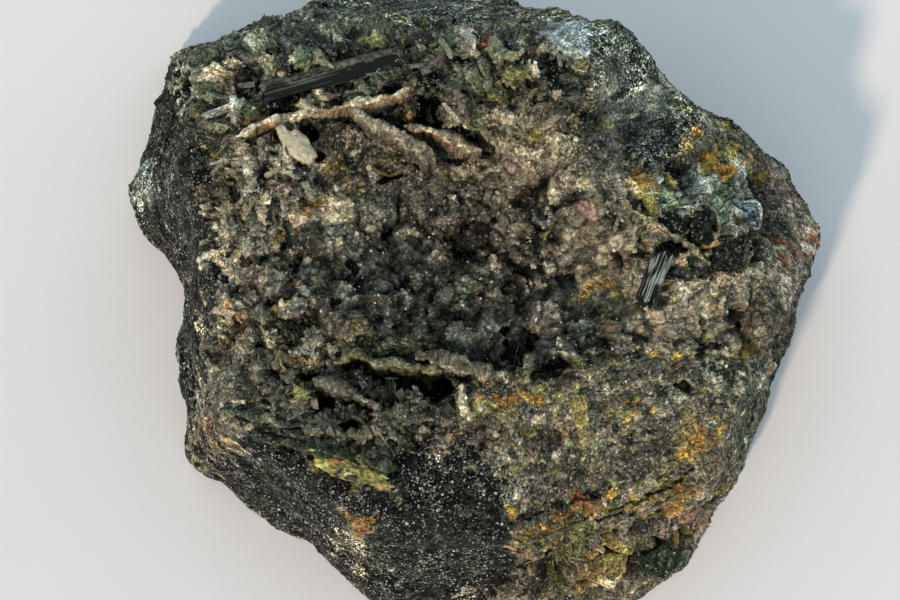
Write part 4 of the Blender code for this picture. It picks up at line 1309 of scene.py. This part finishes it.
# ------------------------------------------------------------
# Plates on edge: old crystal blades eaten out and crusted on both sides with fine druse, so that the
# crest shows a stained core between two rough skins. They have grown out of the floor of the vug.
# A slab is its top edge (mm), thickness, depth, lean of the crest to the near side, skin and core. The
# long ridge has an arm, and the lower ridge a broad end, that have grown together with the first slab.
TAN, TAN_CORE, GREY_TAN = (0.64, 0.56, 0.38), (0.36, 0.21, 0.08), (0.33, 0.31, 0.22)
PLATES = {
    "long_ridge_plate": ("tan_crusted_plate", (
        ((-30.1, 9.8, 45.8), (-26.0, 11.3, 46.4), (-21.7, 12.5, 46.7), (-15.9, 13.4, 46.9),
         (-12.0, 14.4, 46.8), (-7.6, 15.7, 46.7)), 1.05, 6.0, 0.3, TAN, TAN_CORE), (
        ((-15.4, 13.3, 46.7), (-12.6, 11.8, 45.8), (-10.1, 10.7, 45.1), (-7.3, 9.2, 43.8), (-4.3, 7.5, 42.5)),
        1.35, 6.0, 0.2, GREY_TAN, TAN)),
    "tongue_plate": ("tan_crusted_plate", (
        ((-8.0, 12.15, 43.7), (-5.6, 11.9, 44.0), (-3.7, 11.3, 43.9), (-1.0, 10.2, 43.3), (1.7, 9.1, 42.7)),
        1.2, 8.0, 0.9, (0.46, 0.39, 0.25), (0.36, 0.20, 0.09))),
    "lower_ridge_plate": ("olive_blade", (
        ((-17.5, -18.8, 41.4), (-14.3, -18.1, 42.4), (-11.5, -18.9, 42.6), (-6.9, -19.5, 42.4),
         (-3.2, -20.3, 42.0)), 1.0, 7.0, 0.9, (0.20, 0.20, 0.11), LIME), (
        ((-6.8, -18.4, 42.0), (-3.6, -18.9, 42.2), (-0.2, -19.9, 42.0), (3.0, -20.9, 41.5)),
        3.0, 5.0, 0.5, (0.21, 0.19, 0.13), BEIGE)),
    "lower_diagonal_plate": ("tan_crusted_plate", (
        ((-19.7, -21.1, 41.2), (-15.1, -23.1, 41.7), (-10.9, -25.5, 41.1)),
        1.5, 7.0, 0.6, (0.17, 0.16, 0.115), GREEN_ROCK)),
    "crusted_pillar": ("tan_crusted_plate", (
        ((-1.15, -22.7, 41.7), (-0.7, -26.3, 41.1)), 2.0, 6.0, 0.0, TAN, BEIGE)),
    "green_blade_upper": ("olive_blade", (
        ((-31.7, -24.9, 39.2), (-24.7, -26.7, 40.3), (-18.3, -28.1, 40.5)),
        1.1, 4.0, 0.5, (0.10, 0.115, 0.075), BEIGE)),
    "green_blade_lower": ("olive_blade", (
        ((-28.0, -28.1, 39.6), (-18.5, -30.7, 40.3), (-9.0, -32.9, 40.1)),
        1.2, 4.0, 0.6, (0.055, 0.068, 0.045), OLIVE)),
}
PLATE_ALONG, PLATE_AROUND = 140, 38
PLATE_WAVER = (0.14, 0.26, 0.34)     # how far the top edge strays, mm along x, y and z


def plate_rings(top_edge, thickness, depth, lean, skin, core_colour, seed):
    """A slab hung from a curved top edge that wavers: its section is a tall rounded rectangle that leans,
    thick and thin along its length, with a sugary skin. The core's colour shows in a broken line on the near
    side of the crest. Painted shade darkens the creases of the skin and the lower part of the slab."""
    route = smooth_route(np.array(top_edge, float), PLATE_ALONG) * MM
    route = route + np.stack([cloud(route, 2.4, seed + n, 3) * PLATE_WAVER[n] * MM for n in range(3)], -1)
    upright = np.array((0, 0, 1.0))
    across = unit(np.cross(np.gradient(route, axis=0), upright))
    across = (across * np.where(across[:, 1:2] > 0, -1, 1))[:, None]
    turn = np.linspace(0, 2 * math.pi, PLATE_AROUND, endpoint=False)
    flat = np.sign(np.cos(turn)) * np.abs(np.cos(turn)) ** 0.4
    tall = np.sign(np.sin(turn)) * np.abs(np.sin(turn)) ** 0.35
    taper = np.clip(np.sin(math.pi * np.linspace(0.0, 1.0, PLATE_ALONG)) * 6, 0.25, 1) ** 0.6
    upness = (tall + 1) / 2
    half_thick = thickness / 2 * taper * (1 + 0.55 * cloud(route, 2.6, seed + 9, 3))
    sideways = flat * (1 - 0.2 * upness**3) * half_thick[:, None] + lean * upness**3
    rings = route[:, None] + MM * (across * sideways[..., None] + upright * ((upness - 1) * depth)[:, None])
    spots, shape = rings.reshape(-1, 3), (PLATE_ALONG, -1)
    bead, bead_next, own = cells(spots, 0.6, seed)
    chip, chip_lead, chip_own = roofs(spots, 0.9, seed + 1)
    coat = (dome(bead * 1.2) * (0.3 + own[:, 0]) - 0.4) * 0.2
    coat = coat + 0.28 * chip + 0.25 * cloud(spots, 1.6, seed + 6, 2)
    out = across * np.cos(turn)[:, None] + upright * (np.sin(turn) * 0.5)[:, None]
    rings = rings + out * (coat.reshape(shape) * taper[:, None])[..., None] * MM
    stain = cloud(spots, 1.8, seed + 12, 3).reshape(shape)
    near_side = smooth_step(flat, 0.55, 1.0) * smooth_step(upness, 0.45, 0.7)
    near_side = np.maximum(near_side * smooth_step(stain, -0.35, 0.25), 0.6 * smooth_step(stain, 0.5, 0.9))
    stops = 0.8 * (own[:, 1] + chip_own[:, 1] - 1) + 0.7 * cloud(spots, 1.0, seed + 15, 2)
    # Random lightness of the beads and chips, with painted shade in the creases between them and towards the
    # foot of the slab.
    tone_with_painted_shade = 2.0**stops * (0.4 + 0.6 * smooth_step(chip_lead, 0.0, 0.15))
    tone_with_painted_shade = (tone_with_painted_shade * (0.55 + 0.45 * smooth_step(bead_next - bead, 0.03, 0.25))).reshape(shape)
    tone_with_painted_shade = tone_with_painted_shade * (0.5 + 0.5 * smooth_step(upness, 0.5, 0.95))
    return rings, blended(skin, core_colour, near_side[..., None]) * tone_with_painted_shade[..., None]


plate_finish = rock_finish("crusted_plate")
for seed, (node, (finish_slot, *slabs)) in enumerate(PLATES.items(), 60):
    slabs = [plate_rings(*slab, slab_seed) for slab, slab_seed in zip(slabs, (seed * 10, seed + 777))]
    plate = new_object(node + "_grown", tubes_mesh(node, slabs))
    plate.data.materials.append(plate_finish)
    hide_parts(node)
    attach(plate, "root")

# ------------------------------------------------------------
# Lying flakes: a smooth tan one that bridges two holes, and a yellow-green blade laid bare beside
# the lower blades. Their outlines are view points; each lies in the plane of its solid.
# Outline, thickness and bulge (mm), colour, rim colour, mix of its chips, roughness (mm), slot, seed.
CHIP_MIX = ((LIME, 5), (OLIVE, 2), (OCHRE, 2), (AMBER, 1), (GREEN_ROCK, 1.5), ((0.45, 0.43, 0.16), 2))
FLAKES = {
    "tan_flake": (
        ((275, 126), (281, 123), (288, 130), (296, 130), (306, 136), (312, 146), (317, 154), (313, 163),
         (307, 165), (298, 161), (290, 156), (286, 147), (279, 139)),
        0.55, 0.35, (0.50, 0.45, 0.31), (0.36, 0.20, 0.09), None, 0.04, "tan_crusted_plate", 31),
    "yellow_green_blade": (
        ((308, 449), (322, 448), (340, 453), (355, 458), (368, 465), (380, 474), (391, 487), (386, 493),
         (374, 486), (360, 483), (345, 480), (330, 474), (317, 463)),
        0.8, 0.25, LIME, OLIVE, CHIP_MIX, 0.22, "yellow_green_crystal", 32),
}
FLAKE_RINGS, FLAKE_AROUND = 26, 110


def plane_of(node):
    """Middle of a thin solid, and the direction across it, as the least of its three main directions."""
    spots = places_of(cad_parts[node])
    middle = spots.mean(0)
    across = np.linalg.svd(spots - middle)[2][2]
    return middle, across * np.sign(across[2])


def flake(name, outline, thickness, bulge, colour, rim_colour, mix, rough, seed):
    """A thin sheet inside an outline: rings shrink from the rim to the middle above and again below; it is
    thickest inside, frayed at the rim, and gently bent."""
    middle, across = plane_of(name)
    outline = np.array(outline, float)
    centre = outline.mean(0)
    edge = smooth_route(np.concatenate((outline, outline[:1])), FLAKE_AROUND + 1)[:-1] - centre
    share = np.linspace(0.03, 1, FLAKE_RINGS)
    share = np.concatenate((share, share[-2::-1]))[:, None]
    above = np.repeat((1, -1), (FLAKE_RINGS, FLAKE_RINGS - 1))[:, None]
    rays = view_ray(centre[0] + edge[:, 0] * share, centre[1] + edge[:, 1] * share)
    flat = EYE + rays * (((middle - EYE) @ across) / (rays @ across))[..., None]
    spots, shape = flat.reshape(-1, 3), flat.shape[:2]
    ripple, fine = cloud(spots, 1.4, seed, 3).reshape(shape), cloud(spots, 0.35, seed + 5, 2).reshape(shape)
    chip, chip_lead, chip_own = roofs(spots, 0.75, seed + 7)
    chip = rough * (1.6 * chip.reshape(shape) - 0.3)
    skin = above * thickness / 2 * np.sqrt(np.clip(1.02 - share**4, 0, 1)) * (1 + 0.25 * ripple)
    raised = skin + bulge * (1 - share**2) + 0.25 * ripple * share**2 + rough * fine + chip * above
    fray = ((0.03 + 0.5 * rough) * fine + 0.4 * rough * ripple) * share**6
    rings = flat + (raised * MM)[..., None] * across + fray[..., None] * (flat - flat.mean((0, 1)))
    rim = smooth_step(share, 0.88, 0.99) * smooth_step(ripple, -0.3, 0.2)
    tint = blended(colour, rim_colour, rim[..., None])
    if mix:
        # Chips of the blade: random lightness, with painted shade where one chip meets the next.
        lightness = 2.0 ** (chip_own[:, 2] - 0.2) * (0.35 + 0.65 * smooth_step(chip_lead, 0.0, 0.15))
        tint = (picked(mix, chip_own[:, 1]) * lightness[:, None]).reshape(tint.shape)
    tint = np.maximum(tint * (0.95 + (0.12 + rough) * fine + 0.12 * ripple)[..., None], 0.01)
    return new_object(name + "_grown", tubes_mesh(name, [(rings, tint)]))


def smooth_finish(name):
    """A waxy mineral skin: the colour at each place with faint clouding and pin-holes."""
    material, place, shader = new_material(name, IOR=1.5)
    clouding = noise(place, 1500.0, 4.0, 0.65)
    feed(shader, Base_Color=own_tint(place).scaled(clouding * 0.7 + 0.65), Roughness=clouding * 0.4 + 0.35,
         Normal=clouding.bump(0.5, 0.0002))
    return material


flake_finish = smooth_finish("mineral_skin")
for node, (*shape, finish_slot, seed) in FLAKES.items():
    sheet_piece = flake(node, *shape, seed)
    sheet_piece.data.materials.append(flake_finish)
    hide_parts(node)
    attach(sheet_piece, "root")

# ------------------------------------------------------------
# The nodule: a smooth beige botryoidal lump on the right rim of the knob, three or four rounded
# swellings grown into one another.
NODULE = "knob_nodule"
NODULE_ROWS, NODULE_AROUND = 44, 84

low_corner, high_corner = (np.array(c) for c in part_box(NODULE))
nodule_middle, nodule_half = (low_corner + high_corner) / 2, (high_corner - low_corner) / 2
climb = np.linspace(-math.pi / 2 + 0.03, math.pi / 2 - 0.03, NODULE_ROWS)[:, None]
lump_of_rock = ball(climb, np.linspace(0, 2 * math.pi, NODULE_AROUND, endpoint=False)) * nodule_half
spots = lump_of_rock.reshape(-1, 3) + 20 * MM
near, following, own = cells(spots, 1.9, 5)
bead, bead_next, bead_own = cells(spots, 0.8, 6)
swell = 0.62 + 0.24 * dome(near * 0.95) + 0.08 * dome(bead * 1.1) + 0.06 * cloud(spots, 0.9, 91, 2)
rings = nodule_middle + lump_of_rock * swell.reshape(NODULE_ROWS, -1)[..., None] * 1.04
# Painted shade: darker in the creases where the swellings and the beads meet, with random lightness of the
# beads.
tone = (0.3 + 0.7 * smooth_step(following - near, 0.03, 0.3)) * 2.0 ** (bead_own[:, 1] - 0.5)
tone = tone * (0.6 + 0.4 * smooth_step(bead_next - bead, 0.03, 0.25))
tint = tone[:, None] * picked(((BEIGE, 3), (BROWN_DRUSE, 3)), own[:, 1])
nodule = new_object("knob_nodule_grown", tubes_mesh("knob_nodule", [(rings, tint)]))
nodule.data.materials.append(rock_finish("nodule_druse"))
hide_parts(NODULE)
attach(nodule, "root")
